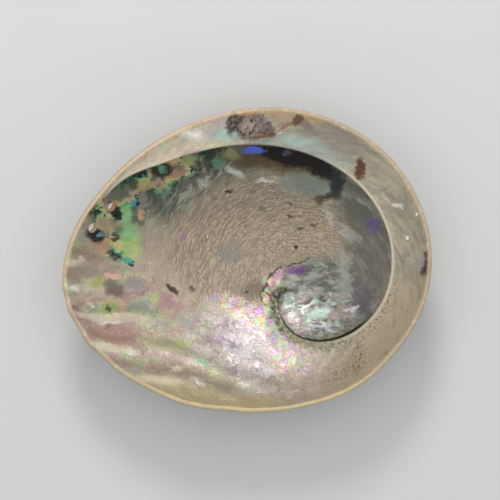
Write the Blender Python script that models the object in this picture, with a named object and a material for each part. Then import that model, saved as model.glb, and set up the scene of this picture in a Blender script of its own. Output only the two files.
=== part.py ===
"""Abalone shell, lying on its back with the hollow up.

The shell is one closed body that widens round a spiral axis as it grew. It is drawn as a fan of
closed sections through that axis. Each section runs out over the wall of the hollow, turns back
under the shelf, goes over the shelf's lip and top to the rim, round the rim, and home over the
back. The fan makes one turn. Where it starts, the shelf has no width yet, and where it ends, the
shelf has run out into the rim, so the last section meets the first.

Lengths are in millimetres until the mesh is made. Turns are in degrees about the spiral axis,
seen from above, from +X anticlockwise.
"""

import math

import bmesh
import bpy
import numpy as np
from mathutils import Vector

MM = 0.001

# Places seen from above, from the middle of the shell's length and width
AXIS = np.array([24.66, -16.55])
DEEPEST = np.array([-1.84, 6.45])
SPIRE = np.array([31.16, -20.05])

# The rim: its distance from the spiral axis at each turn, its mean height and its rise and fall
RIM_TURNS = [0, 30, 60, 90, 120, 150, 166, 180, 195, 210, 240, 270, 300, 330]
RIM_REACHES = [63.6, 72.6, 82.2, 90.4, 98.0, 108.6, 114.6, 114.6, 104.0, 89.8, 67.2, 56.6, 54.4, 56.2]
RIM_ROUNDING = 1.0
RIM_HEIGHT = 46.0
RIM_WAVE = 1.3

# The back: share of steep wall towards each bearing from the deepest point, every 45 degrees
STEEPNESS = [0.84, 0.80, 0.84, 0.66, 0.24, 0.16, 0.60, 0.92]
GENTLE_BEND = 1.8
SPIRE_BULGE = 4.5
SPIRE_WIDTH = 19.0
WORN_SPOT = np.array([6.0, 3.0])
WORN_DEPTH = 1.2

# The wall's thickness in the middle and at the rim
WALL_MIDDLE = 4.6
WALL_RIM = 2.8

# The shelf: its edge's distance from the axis and height, and how deep it is hollowed beneath
START_TURN = 160.0
END_TURN = 520.0
EDGE_TURNS = [160, 180, 203, 225, 243, 270, 315, 360, 405, 450, 480, 495, 507, 520]
EDGE_REACHES = [0.0, 7.9, 9.9, 12.4, 15.4, 21.3, 31.2, 43.4, 56.6, 70.0, 82.0, 90.8, 101.4, 108.5]
EDGE_HEIGHTS = [6.0, 9.0, 11.6, 14.2, 16.8, 21.0, 28.5, 35.5, 39.5, 41.0, 42.8, 44.8, 47.2, 50.0]
HOLLOWS = [0.0, 0.9, 1.4, 2.0, 2.6, 3.6, 5.6, 7.6, 9.0, 9.0, 6.5, 4.5, 2.0, 1.0]
SHELF_TURNS = [160, 200, 270, 340, 380]
SHELF_SHARES = [0.0, 0.05, 0.45, 1.0, 1.0]
LIP_THICKNESS = 1.5

# Relief of the wall: ripples across the growing edge, seen on both faces
RIPPLE_LENGTH = 12.0
RIPPLE_HEIGHT = 1.2
RIPPLE_SLOPE = -14.0
SCALLOP_DEPTH = 0.6

# Relief of the back: the seam between turns, the ribs along them and the growth ridges across
SPIRAL_GROWTH = 0.35
SUTURE_TURN = 310.0
SUTURE_REACH = 53.5
SUTURE_DEPTH = 1.1
RIBS_A_TURN = 12
RIB_HEIGHT = 0.45
GROWTH_STEP = 21.0
GROWTH_HEIGHT = 0.5
AGE_STEP = 4.0

# The row of breathing holes: the newest, the step back to each older one, and how many are open
PORE_TURN = 162.0
PORE_REACH = 107.2
PORE_STEP = 7.2
OPEN_PORES = 2
CLOSED_PORES = 7
PORE_RADIUS = 2.3
PORE_DEPTH = 16.0
PORE_LEAN = 0.6
COLLAR_RADIUS = 4.2
COLLAR_HEIGHT = 1.4

# The lump grown over on the shelf
BLISTER = np.array([1.5, 64.0])
BLISTER_SIZE = np.array([11.0, 6.0])
BLISTER_HEIGHT = 1.5

# How finely the sections are drawn, before the mesh is thinned
COLUMNS = 150
WALL_ROWS = 24
UNDER_ROWS = 5
LIP_ROWS = 3
RIM_ROWS = 3
BACK_ROWS = 30
TRIANGLES = 9400
PORE_SIDES = 16
WEAR_SIZE = 400.0


def smooth(value, low=0.0, high=1.0):
    """0 below low and 1 above high, with a smooth step between."""
    t = np.clip((np.asarray(value, float) - low) / (high - low), 0.0, 1.0)
    return t * t * (3.0 - 2.0 * t)


def curve(places, values, x):
    """A smooth curve through the values that never overshoots them."""
    places = np.asarray(places, float)
    values = np.asarray(values, float)
    x = np.clip(np.asarray(x, float), places[0], places[-1])
    gaps = np.diff(places)
    slopes = np.diff(values) / gaps
    tangents = np.zeros_like(values)
    before = slopes[:-1]
    after = slopes[1:]
    same = before * after > 0
    tangents[1:-1][same] = (2 * before * after)[same] / (before + after)[same]
    tangents[0] = slopes[0]
    tangents[-1] = slopes[-1]
    i = np.clip(np.searchsorted(places, x, side="right") - 1, 0, len(gaps) - 1)
    t = (x - places[i]) / gaps[i]
    start = (1 + 2 * t) * (1 - t) ** 2 * values[i] + t * (1 - t) ** 2 * gaps[i] * tangents[i]
    end = t * t * (3 - 2 * t) * values[i + 1] + t * t * (t - 1) * gaps[i] * tangents[i + 1]
    return start + end


def ring(places, values, degrees):
    """A smooth closed curve through the values at these places of a full turn."""
    places = np.asarray(places, float)
    values = np.asarray(values, float)
    count = len(places)
    degrees = np.asarray(degrees, float) % 360.0
    i = np.searchsorted(places, degrees, side="right") - 1
    around = np.arange(-1, count + 2)
    knots = places[around % count] + 360.0 * (around // count)
    heights = values[around % count]
    tangents = (heights[2:] - heights[:-2]) / (knots[2:] - knots[:-2])
    gap = knots[i + 2] - knots[i + 1]
    t = (degrees - knots[i + 1]) / gap
    start = (1 + 2 * t) * (1 - t) ** 2 * heights[i + 1] + t * (1 - t) ** 2 * gap * tangents[i]
    end = t * t * (3 - 2 * t) * heights[i + 2] + t * t * (t - 1) * gap * tangents[i + 1]
    return start + end


def polar(x, y, centre):
    """Distance and bearing in degrees of these points from a centre."""
    dx = x - centre[0]
    dy = y - centre[1]
    return np.hypot(dx, dy), np.degrees(np.arctan2(dy, dx)) % 360.0


def outward(turn):
    """Unit vectors that point away from the axis at these turns."""
    angle = np.radians(turn)
    return np.stack([np.cos(angle), np.sin(angle), np.zeros_like(angle)], -1)


def ripple_wave(x, y):
    """Uneven waves, from -1 to 1, whose crests run nearly along X."""
    slope = math.radians(RIPPLE_SLOPE)
    across = y * math.cos(slope) - x * math.sin(slope)
    bend = 2.6 * np.sin(x / 21.0 + 0.8) + 1.5 * np.sin(x / 8.5 + y / 13.0) + 1.3 * np.sin(y / 10.0)
    wave = np.sin(2 * math.pi * (across + bend) / RIPPLE_LENGTH)
    uneven = 0.72 + 0.28 * np.sin(x / 7.0 - y / 11.0 + 1.5)
    return uneven * (wave + 0.25 * wave * wave - 0.12)


def plain_reach(turn):
    """Distance of the rim from the axis before the ripples scallop it."""
    return ring(RIM_TURNS, RIM_REACHES, turn) - RIM_ROUNDING


def rim_reach(turn):
    """Distance of the rim from the axis, scalloped where the ripples run out into it."""
    plain = plain_reach(turn)
    angle = np.radians(turn)
    x = AXIS[0] + plain * np.cos(angle)
    y = AXIS[1] + plain * np.sin(angle)
    rippled = smooth(turn % 360.0, 172, 190) * (1 - smooth(turn % 360.0, 225, 262))
    return plain + SCALLOP_DEPTH * rippled * ripple_wave(x, y)


def rim_height(turn):
    angle = np.radians(turn)
    return RIM_HEIGHT + RIM_WAVE * (0.7 * np.cos(2 * angle + 0.5) + 0.4 * np.sin(5 * angle))


RIM_SAMPLES = np.arange(0.0, 360.0, 0.5)
RIM_POINTS = AXIS + (plain_reach(RIM_SAMPLES) * outward(RIM_SAMPLES)[:, :2].T).T
RIM_DISTANCES, RIM_BEARINGS = polar(RIM_POINTS[:, 0], RIM_POINTS[:, 1], DEEPEST)
RIM_ORDER = np.argsort(RIM_BEARINGS)


def at_rim(values, bearing):
    """The rim's value at a bearing from the deepest point."""
    return np.interp(bearing, RIM_BEARINGS[RIM_ORDER], values[RIM_ORDER], period=360)


def share_of_rim(x, y):
    """0 at the deepest point and 1 at the rim."""
    distance, bearing = polar(x, y, DEEPEST)
    return distance / at_rim(RIM_DISTANCES, bearing)


def back(x, y):
    """Height of the plain back: a bowl with a steep and a gentle side, and the spire's bulge."""
    share = share_of_rim(x, y)
    bearing = polar(x, y, DEEPEST)[1]
    top = at_rim(rim_height(RIM_SAMPLES), bearing)
    steepness = ring(np.arange(0, 360, 45), STEEPNESS, bearing)
    bend = GENTLE_BEND
    gentle = (np.sqrt(1 + (bend * share) ** 2) - 1) / (math.sqrt(1 + bend * bend) - 1)
    steep = 0.55 * share ** 2 + 0.45 * share ** 7
    bowl = top * ((1 - steepness) * gentle + steepness * steep)
    bulge = SPIRE_BULGE * np.exp(-(polar(x, y, SPIRE)[0] / SPIRE_WIDTH) ** 2)
    return bowl - bulge - WORN_DEPTH


def normal(x, y):
    """Unit vectors into the hollow, square to the plain back."""
    step = 0.3
    slope_x = (back(x + step, y) - back(x - step, y)) / (2 * step)
    slope_y = (back(x, y + step) - back(x, y - step)) / (2 * step)
    across = np.stack([-slope_x, -slope_y, np.ones_like(slope_x)], -1)
    return across / np.linalg.norm(across, axis=-1, keepdims=True)


def ripples(x, y):
    """Ripples of the growing edge, to the left and below, fading towards the middle."""
    share = share_of_rim(x, y)
    bearing = polar(x, y, DEEPEST)[1]
    where = smooth(bearing, 168, 192) * (1 - 0.6 * smooth(bearing, 215, 250)) * (1 - smooth(bearing, 265, 300))
    fade = smooth(share, 0.50, 0.82) * (1 - 0.5 * smooth(share, 0.93, 1.0))
    return RIPPLE_HEIGHT * where * fade * ripple_wave(x, y)


def growth_place(x, y):
    """Where a point of the back lies in the spiral.

    It gives the width of its turn as a share, 0 and 1 at the seams, and how long ago in degrees
    of growth the shell's edge passed it."""
    reach, turn = polar(x, y, AXIS)
    seam = np.log(SUTURE_REACH) + SPIRAL_GROWTH * np.radians((turn - SUTURE_TURN) % 360.0 - 360.0)
    share = (np.log(np.maximum(reach, 0.5)) - seam) / (SPIRAL_GROWTH * 2 * math.pi)
    age = np.zeros_like(reach)
    newer = rim_reach(turn)
    for look_back in np.arange(AGE_STEP, 400.0, AGE_STEP):
        older = rim_reach(turn + look_back) * math.exp(-SPIRAL_GROWTH * math.radians(look_back))
        age = age + AGE_STEP * np.clip((newer - reach) / np.maximum(newer - older, 1e-3), 0.0, 1.0)
        newer = older
    return share, age


def pore_place(number):
    """Middle of a pore seen from above, 0 being the newest, and its size against the newest."""
    turn = PORE_TURN - PORE_STEP * number
    size = math.exp(-SPIRAL_GROWTH * math.radians(PORE_STEP * number))
    reach = PORE_REACH * size
    angle = math.radians(turn)
    return AXIS + reach * np.array([math.cos(angle), math.sin(angle)]), size


def collars(x, y):
    """Raised rims of the pores on the back, with the older ones filled to a dimple."""
    height = np.zeros_like(x)
    for number in range(OPEN_PORES + CLOSED_PORES):
        place, size = pore_place(number)
        distance = polar(x, y, place)[0] / (COLLAR_RADIUS * size)
        bump = np.exp(-distance ** 4) - 0.45 * np.exp(-(2.2 * distance) ** 2)
        height = np.maximum(height, COLLAR_HEIGHT * size * bump)
    return height


def back_relief(x, y):
    """How far the finished back stands out from the plain one."""
    share, age = growth_place(x, y)
    seam = share - np.round(share)
    reach = polar(x, y, AXIS)[0]
    fine = smooth(reach, 4.0, 20.0)
    groove = SUTURE_DEPTH * fine * np.exp(-(seam / 0.045) ** 2)
    ribs = RIB_HEIGHT * fine * np.sin(2 * math.pi * RIBS_A_TURN * share)
    wave = np.sin(2 * math.pi * age / GROWTH_STEP) + 0.5 * np.sin(2 * math.pi * age / 8.7 + 1.0)
    growth = GROWTH_HEIGHT * smooth(reach, 15.0, 45.0) * wave
    relief = collars(x, y) - groove + ribs + growth - ripples(x, y)
    unworn = smooth(polar(x, y, WORN_SPOT)[0], 8.0, 26.0)
    return relief * unworn * (1 - smooth(share_of_rim(x, y), 0.93, 1.0))


def wall(turn, share):
    """Points of the hollow's wall, at this share of the way from the axis to the rim."""
    angle = np.radians(turn)
    reach = rim_reach(turn) * share
    x = AXIS[0] + reach * np.cos(angle)
    y = AXIS[1] + reach * np.sin(angle)
    thickness = WALL_RIM + (WALL_MIDDLE - WALL_RIM) * (1 - smooth(share, 0.6, 1.0))
    point = np.stack([x, y, back(x, y)], -1)
    return point + normal(x, y) * (thickness + ripples(x, y))[..., None]


def spread(count):
    """Numbers from 0 to 1, closer together at both ends."""
    even = np.linspace(0, 1, count)
    return 0.55 * even + 0.45 * smooth(even)


def hermite(start, leave, end, arrive, count):
    """Points of smooth curves between starts and ends, without the ends themselves."""
    t = np.linspace(0, 1, count + 2)[1:-1][None, :, None]
    return (
        (1 + 2 * t) * (1 - t) ** 2 * start[:, None]
        + t * (1 - t) ** 2 * leave[:, None]
        + t * t * (3 - 2 * t) * end[:, None]
        + t * t * (t - 1) * arrive[:, None]
    )


def arc(middle, half, bulge, count):
    """Points of half circles from middle + half to middle - half by way of bulge, ends left out."""
    angle = np.linspace(math.pi / 2, -math.pi / 2, count + 2)[1:-1][None, :, None]
    return middle[:, None] + half[:, None] * np.sin(angle) + bulge[:, None] * np.cos(angle)


def lump(x, y):
    """The lump grown over on the shelf."""
    dx = (x - BLISTER[0]) / BLISTER_SIZE[0]
    dy = (y - BLISTER[1]) / BLISTER_SIZE[1]
    bumps = 1 + 0.2 * np.sin(x / 2.3 + y / 3.1) + 0.15 * np.sin(y / 1.4 - x / 4.7)
    return BLISTER_HEIGHT * bumps * np.exp(-(dx * dx + dy * dy) ** 2)


def sections(turn, wall_rows, under_rows, lip_rows, rim_rows, back_rows):
    """Closed sections at these turns, as an array of turns by points by 3."""
    out = outward(turn)
    up = np.array([0.0, 0.0, 1.0])
    reach = rim_reach(turn)
    rim_outside = np.stack([*(AXIS + (reach * out[:, :2].T).T).T, np.zeros_like(turn)], -1)
    rim_outside[:, 2] = back(rim_outside[:, 0], rim_outside[:, 1])
    rim_inside = wall(turn, np.ones_like(turn))
    inner_reach = polar(rim_inside[:, 0], rim_inside[:, 1], AXIS)[0]

    to_end = smooth(turn, END_TURN - 8, END_TURN)
    edge = np.minimum(curve(EDGE_TURNS, EDGE_REACHES, turn) / inner_reach, 1.0)
    edge = edge + (1 - edge) * to_end
    shelf_width = (1 - edge) * inner_reach
    on_edge = wall(turn, edge)
    height = np.minimum(curve(EDGE_TURNS, EDGE_HEIGHTS, turn), rim_inside[:, 2] - shelf_width / 5)
    above = np.maximum(height - on_edge[:, 2], 0.0)
    grown = np.sqrt(smooth(turn, START_TURN, START_TURN + 34) * (1 - smooth(turn, END_TURN - 14, END_TURN)))
    room = np.minimum(above, shelf_width) / 2
    hollow = np.minimum(curve(EDGE_TURNS, HOLLOWS, turn), room) * grown
    lip = (np.minimum(LIP_THICKNESS, room) / 2 * grown)[:, None]
    free_edge = np.stack([*(AXIS + (edge * inner_reach * out[:, :2].T).T).T, on_edge[:, 2] + above], -1)
    lip_top = on_edge + (free_edge - on_edge) * grown[:, None] + out * lip

    flat = (smooth(turn, 230, 330) * (1 - smooth(turn, 470, END_TURN - 8)))[:, None]
    shelf_corner = rim_outside - out * 1.4 + up * 2.4
    rim_inside = rim_inside + (shelf_corner - rim_inside) * flat

    lower_share = np.minimum(edge + hollow / reach, 1.0)[:, None] * spread(wall_rows)
    lower = wall(np.broadcast_to(turn[:, None], lower_share.shape), lower_share)

    steps = spread(wall_rows)
    upper_share = edge[:, None] + (1 - edge)[:, None] * steps
    bowl = wall(np.broadcast_to(turn[:, None], upper_share.shape), upper_share)
    from_edge = shelf_width[:, None] * steps
    bowl[..., 2] += (lip_top - on_edge)[:, 2:] * np.exp(-((from_edge / 11.0) ** 1.6))
    shelf = lip_top[:, None] + (rim_inside - lip_top)[:, None] * steps[None, :, None]
    climb = rim_inside[:, 2] - lip_top[:, 2]
    shelf[..., 2] = lip_top[:, None, 2] + climb[:, None] * steps ** 1.7
    shelf_share = curve(SHELF_TURNS, SHELF_SHARES, turn)[:, None, None]
    upper = bowl + (shelf - bowl) * shelf_share
    to_lip = (1 - smooth(steps, 0, 0.25))[None, :, None]
    to_rim = smooth(steps, 0.75, 1)[None, :, None]
    upper = upper + (lip_top - upper[:, 0])[:, None] * to_lip
    upper = upper + (rim_inside - upper[:, -1])[:, None] * to_rim
    upper[..., 2] += lump(upper[..., 0], upper[..., 1])

    lip_under = lip_top - 2 * lip * up
    leave = lower[:, -1] - lower[:, -2]
    leave = leave / (np.linalg.norm(leave, axis=-1, keepdims=True) + 1e-9)
    gap = np.linalg.norm(lip_under - lower[:, -1], axis=-1, keepdims=True)
    under = hermite(lower[:, -1], leave * gap * 1.3, lip_under, -(out * 1.3 + up * 0.15) * gap, under_rows)
    nose = arc(lip_top - lip * up, -lip * up, -lip * out, lip_rows)
    nose = np.concatenate([lip_under[:, None], nose], 1)

    half = (rim_inside - rim_outside) / 2
    round_out = out - (out * half).sum(-1, keepdims=True) * half / (half * half).sum(-1, keepdims=True)
    round_out = round_out / np.linalg.norm(round_out, axis=-1, keepdims=True)
    round_out = round_out * np.linalg.norm(half, axis=-1, keepdims=True) * 0.8
    rim = arc((rim_inside + rim_outside) / 2, half, round_out, rim_rows)

    back_share = 1 - spread(back_rows)[None, :] * np.ones((len(turn), 1))
    place = AXIS + (reach[:, None] * back_share)[..., None] * out[:, None, :2]
    x = place[..., 0]
    y = place[..., 1]
    behind = np.stack([x, y, back(x, y)], -1) - normal(x, y) * back_relief(x, y)[..., None]
    return np.concatenate([lower, under, nose, upper, rim, behind], 1)


def shell_mesh():
    """The fan of sections, joined into one closed mesh."""
    turn = np.linspace(START_TURN, START_TURN + 360.0, COLUMNS + 1)
    points = sections(turn, WALL_ROWS, UNDER_ROWS, LIP_ROWS, RIM_ROWS, BACK_ROWS)
    columns, rows = points.shape[:2]
    index = np.arange(columns * rows).reshape(columns, rows)
    here = index[:-1]
    there = index[1:]
    onward = np.roll(index, -1, axis=1)
    faces = np.stack([here, onward[:-1], onward[1:], there], -1)[:, : rows - 1].reshape(-1, 4)
    mesh = bpy.data.meshes.new("shell")
    mesh.from_pydata((points.reshape(-1, 3) * MM).tolist(), [], faces.tolist())

    work = bmesh.new()
    work.from_mesh(mesh)
    bmesh.ops.remove_doubles(work, verts=work.verts, dist=0.001 * MM)
    bmesh.ops.triangulate(work, faces=work.faces)
    bmesh.ops.recalc_face_normals(work, faces=work.faces)
    work.to_mesh(mesh)
    work.free()
    mesh.shade_smooth()
    return mesh


def shell_material():
    """Worn nacre: pale, smooth and not metal."""
    material = bpy.data.materials.new("nacre")
    material.use_nodes = True
    shader = material.node_tree.nodes["Principled BSDF"]
    shader.inputs["Base Color"].default_value = (0.52, 0.47, 0.40, 1.0)
    shader.inputs["Roughness"].default_value = 0.35
    shader.inputs["Metallic"].default_value = 0.0
    return material


def pore_cutter(number, cutters):
    """A round tool that drills one pore, leaning between upright and square to the wall."""
    place, size = pore_place(number)
    across = normal(place[:1], place[1:])[0]
    lean = Vector(across) + Vector((0.0, 0.0, PORE_LEAN))
    middle = Vector((*place, float(back(place[:1], place[1:])[0]))) + Vector(across) * WALL_RIM / 2
    bpy.ops.mesh.primitive_cylinder_add(
        vertices=PORE_SIDES,
        radius=PORE_RADIUS * size * MM,
        depth=PORE_DEPTH * MM,
        location=middle * MM,
        rotation=lean.to_track_quat("Z", "Y").to_euler(),
    )
    return set_aside(bpy.context.object, f"pore_cutter_{number}", cutters)


def wear_cutter(cutters):
    """A slab under the shell, whose top wears the back flat where it rests."""
    bpy.ops.mesh.primitive_cube_add(size=WEAR_SIZE * MM, location=(0.0, 0.0, -WEAR_SIZE / 2 * MM))
    return set_aside(bpy.context.object, "wear_cutter", cutters)


def set_aside(cutter, name, cutters):
    """Names a cutter and keeps it out of renders."""
    cutter.name = name
    cutter.hide_render = True
    cutter.display_type = "WIRE"
    bpy.context.collection.objects.unlink(cutter)
    cutters.objects.link(cutter)
    return cutter


def thin(shell):
    """Fewer triangles where the shell is plain, and as many as before where it bends."""
    modifier = shell.modifiers.new("thin", "DECIMATE")
    modifier.ratio = TRIANGLES / len(shell.data.polygons)


def cut(shell, cutter):
    modifier = shell.modifiers.new(cutter.name, "BOOLEAN")
    modifier.operation = "DIFFERENCE"
    modifier.object = cutter


def new_collection(name):
    collection = bpy.data.collections.new(name)
    bpy.context.scene.collection.children.link(collection)
    return collection


def clear_scene():
    for old in list(bpy.data.objects):
        bpy.data.objects.remove(old)


def main():
    clear_scene()
    parts = new_collection("abalone_shell")
    cutters = new_collection("cutters")
    shell = bpy.data.objects.new("shell", shell_mesh())
    shell.data.materials.append(shell_material())
    parts.objects.link(shell)
    thin(shell)
    cut(shell, wear_cutter(cutters))
    for number in range(OPEN_PORES):
        cut(shell, pore_cutter(number, cutters))


main()
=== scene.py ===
# %% [markdown]
# # An abalone shell
#
# An abalone lives under a single broad shell that widens as it coils. Lying on its back, it shows a
# bowl of nacre, the mother-of-pearl that the animal laid down. We dress a plain CAD solid of that
# shell, which gives its size and place, with a finer skin and with the colours of the real thing.
#
# The first cell loads the CAD solid. Its box is kept, because the finished shell has to fit in it.

# %% The frame
import math

import bmesh
import bpy
import numpy as np
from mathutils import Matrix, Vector


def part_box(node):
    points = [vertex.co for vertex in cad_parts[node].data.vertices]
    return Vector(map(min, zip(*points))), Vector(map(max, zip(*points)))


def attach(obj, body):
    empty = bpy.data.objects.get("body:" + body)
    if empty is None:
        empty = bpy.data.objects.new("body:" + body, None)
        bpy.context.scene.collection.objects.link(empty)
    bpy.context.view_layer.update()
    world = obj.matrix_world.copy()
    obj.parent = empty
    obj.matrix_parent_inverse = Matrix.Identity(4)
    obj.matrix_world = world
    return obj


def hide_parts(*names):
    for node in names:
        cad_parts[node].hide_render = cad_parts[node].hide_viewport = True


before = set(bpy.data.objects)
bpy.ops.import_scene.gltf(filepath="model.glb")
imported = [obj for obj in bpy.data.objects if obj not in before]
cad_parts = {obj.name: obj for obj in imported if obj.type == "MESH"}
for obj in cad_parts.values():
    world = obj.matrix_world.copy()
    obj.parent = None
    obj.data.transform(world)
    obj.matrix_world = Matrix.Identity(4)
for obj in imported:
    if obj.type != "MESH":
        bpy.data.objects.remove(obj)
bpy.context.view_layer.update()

MM = 0.001

# %% [markdown]
# ## Curves to draw with
#
# A shell has no straight lines. Its outline and its shelf are given as a few measured places, and a
# smooth curve joins them. Three helpers do that: an even step from 0 to 1, a curve through values
# that never swings past them, and one that closes on itself after a full turn.

# %% Smooth steps and curves
def smooth(value, low=0.0, high=1.0):
    """0 below low and 1 above high, with a smooth step between."""
    t = np.clip((np.asarray(value, float) - low) / (high - low), 0.0, 1.0)
    return t * t * (3.0 - 2.0 * t)


def curve(places, values, x):
    """A smooth curve through the values that never overshoots them."""
    places = np.asarray(places, float)
    values = np.asarray(values, float)
    x = np.clip(np.asarray(x, float), places[0], places[-1])
    gaps = np.diff(places)
    slopes = np.diff(values) / gaps
    tangents = np.zeros_like(values)
    before = slopes[:-1]
    after = slopes[1:]
    same = before * after > 0
    tangents[1:-1][same] = (2 * before * after)[same] / (before + after)[same]
    tangents[0] = slopes[0]
    tangents[-1] = slopes[-1]
    i = np.clip(np.searchsorted(places, x, side="right") - 1, 0, len(gaps) - 1)
    t = (x - places[i]) / gaps[i]
    start = (1 + 2 * t) * (1 - t) ** 2 * values[i] + t * (1 - t) ** 2 * gaps[i] * tangents[i]
    end = t * t * (3 - 2 * t) * values[i + 1] + t * t * (t - 1) * gaps[i] * tangents[i + 1]
    return start + end


def ring(places, values, degrees):
    """A smooth closed curve through the values at these places of a full turn."""
    places = np.asarray(places, float)
    values = np.asarray(values, float)
    count = len(places)
    degrees = np.asarray(degrees, float) % 360.0
    i = np.searchsorted(places, degrees, side="right") - 1
    around = np.arange(-1, count + 2)
    knots = places[around % count] + 360.0 * (around // count)
    heights = values[around % count]
    tangents = (heights[2:] - heights[:-2]) / (knots[2:] - knots[:-2])
    gap = knots[i + 2] - knots[i + 1]
    t = (degrees - knots[i + 1]) / gap
    start = (1 + 2 * t) * (1 - t) ** 2 * heights[i + 1] + t * (1 - t) ** 2 * gap * tangents[i]
    end = t * t * (3 - 2 * t) * heights[i + 2] + t * t * (t - 1) * gap * tangents[i + 1]
    return start + end


def polar(x, y, centre):
    """Distance and bearing in degrees of these points from a centre."""
    dx = x - centre[0]
    dy = y - centre[1]
    return np.hypot(dx, dy), np.degrees(np.arctan2(dy, dx)) % 360.0


def outward(turn):
    """Unit vectors that point away from the axis at these turns."""
    angle = np.radians(turn)
    return np.stack([np.cos(angle), np.sin(angle), np.zeros_like(angle)], -1)


# %% [markdown]
# ## The outline
#
# Seen from above the shell is an egg with a blunt point at its left. The coil's axis stands well off
# the middle, at the lower right, so the rim is drawn as its distance from that axis at each turn.
# The growing edge at the left and below is rippled, and the ripples scallop the outline a little.

# %% The rim
AXIS = np.array([24.66, -16.55])
DEEPEST = np.array([-1.84, 6.45])
RIM_TURNS = [0, 30, 60, 90, 120, 150, 166, 180, 195, 210, 240, 270, 300, 330]
RIM_REACHES = [63.6, 72.6, 82.2, 90.4, 98.0, 108.6, 114.6, 114.6, 104.0, 89.8, 67.2, 56.6, 54.4, 56.2]
RIM_ROUNDING = 1.0
RIM_HEIGHT = 46.0
RIM_WAVE = 1.3
RIPPLE_LENGTH = 12.0
RIPPLE_SLOPE = -14.0
SCALLOP_DEPTH = 0.6


def ripple_wave(x, y):
    """Uneven waves, from -1 to 1, whose crests run nearly along X."""
    slope = math.radians(RIPPLE_SLOPE)
    across = y * math.cos(slope) - x * math.sin(slope)
    bend = 2.6 * np.sin(x / 21.0 + 0.8) + 1.5 * np.sin(x / 8.5 + y / 13.0) + 1.3 * np.sin(y / 10.0)
    wave = np.sin(2 * math.pi * (across + bend) / RIPPLE_LENGTH)
    uneven = 0.72 + 0.28 * np.sin(x / 7.0 - y / 11.0 + 1.5)
    return uneven * (wave + 0.25 * wave * wave - 0.12)


def plain_reach(turn):
    """Distance of the rim from the axis before the ripples scallop it."""
    return ring(RIM_TURNS, RIM_REACHES, turn) - RIM_ROUNDING


def rim_reach(turn):
    """Distance of the rim from the axis, scalloped where the ripples run out into it."""
    plain = plain_reach(turn)
    angle = np.radians(turn)
    x = AXIS[0] + plain * np.cos(angle)
    y = AXIS[1] + plain * np.sin(angle)
    rippled = smooth(turn % 360.0, 172, 190) * (1 - smooth(turn % 360.0, 225, 262))
    return plain + SCALLOP_DEPTH * rippled * ripple_wave(x, y)


def rim_height(turn):
    angle = np.radians(turn)
    return RIM_HEIGHT + RIM_WAVE * (0.7 * np.cos(2 * angle + 0.5) + 0.4 * np.sin(5 * angle))


RIM_SAMPLES = np.arange(0.0, 360.0, 0.5)
RIM_POINTS = AXIS + (plain_reach(RIM_SAMPLES) * outward(RIM_SAMPLES)[:, :2].T).T
RIM_DISTANCES, RIM_BEARINGS = polar(RIM_POINTS[:, 0], RIM_POINTS[:, 1], DEEPEST)
RIM_ORDER = np.argsort(RIM_BEARINGS)


def at_rim(values, bearing):
    """The rim's value at a bearing from the deepest point."""
    return np.interp(bearing, RIM_BEARINGS[RIM_ORDER], values[RIM_ORDER], period=360)


def share_of_rim(x, y):
    """0 at the deepest point and 1 at the rim."""
    distance, bearing = polar(x, y, DEEPEST)
    return distance / at_rim(RIM_DISTANCES, bearing)


nearest = RIM_DISTANCES.min().round(1)
farthest = RIM_DISTANCES.max().round(1)
print("the rim lies", nearest, "to", farthest, "mm from the deepest point")

# %% [markdown]
# ## The bowl
#
# The bowl is steep at the right and below and climbs gently to the left. One formula gives the
# height of its back anywhere, as a mix of a gentle and a steep profile that changes with the
# bearing. The spire, where the coil began, bulges it a little further down.

# %% The back of the bowl, the ripples and the direction square to it
STEEPNESS = [0.84, 0.80, 0.84, 0.66, 0.24, 0.16, 0.60, 0.92]
GENTLE_BEND = 1.8
SPIRE = np.array([31.16, -20.05])
SPIRE_BULGE = 4.5
SPIRE_WIDTH = 19.0
WORN_SPOT = np.array([6.0, 3.0])
WORN_DEPTH = 1.2
RIPPLE_HEIGHT = 1.2


def back(x, y):
    """Height of the plain back: a bowl with a steep and a gentle side, and the spire's bulge."""
    share = share_of_rim(x, y)
    bearing = polar(x, y, DEEPEST)[1]
    top = at_rim(rim_height(RIM_SAMPLES), bearing)
    steepness = ring(np.arange(0, 360, 45), STEEPNESS, bearing)
    bend = GENTLE_BEND
    gentle = (np.sqrt(1 + (bend * share) ** 2) - 1) / (math.sqrt(1 + bend * bend) - 1)
    steep = 0.55 * share ** 2 + 0.45 * share ** 7
    bowl = top * ((1 - steepness) * gentle + steepness * steep)
    bulge = SPIRE_BULGE * np.exp(-(polar(x, y, SPIRE)[0] / SPIRE_WIDTH) ** 2)
    return bowl - bulge - WORN_DEPTH


def normal(x, y):
    """Unit vectors into the hollow, square to the plain back."""
    step = 0.3
    slope_x = (back(x + step, y) - back(x - step, y)) / (2 * step)
    slope_y = (back(x, y + step) - back(x, y - step)) / (2 * step)
    across = np.stack([-slope_x, -slope_y, np.ones_like(slope_x)], -1)
    return across / np.linalg.norm(across, axis=-1, keepdims=True)


def ripples(x, y):
    """Ripples of the growing edge, to the left and below, fading towards the middle."""
    share = share_of_rim(x, y)
    bearing = polar(x, y, DEEPEST)[1]
    where = smooth(bearing, 168, 192) * (1 - 0.6 * smooth(bearing, 215, 250))
    where = where * (1 - smooth(bearing, 265, 300))
    fade = smooth(share, 0.50, 0.82) * (1 - 0.5 * smooth(share, 0.93, 1.0))
    return RIPPLE_HEIGHT * where * fade * ripple_wave(x, y)


# %% [markdown]
# ## The relief of the back
#
# The back records how the shell grew. Ribs follow the coil, ridges mark where the growing edge
# once stood, and a seam winds where each turn joins the last. All of them follow a spiral that
# widens by the same share each turn, so every point is first asked where it lies in that spiral.

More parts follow.
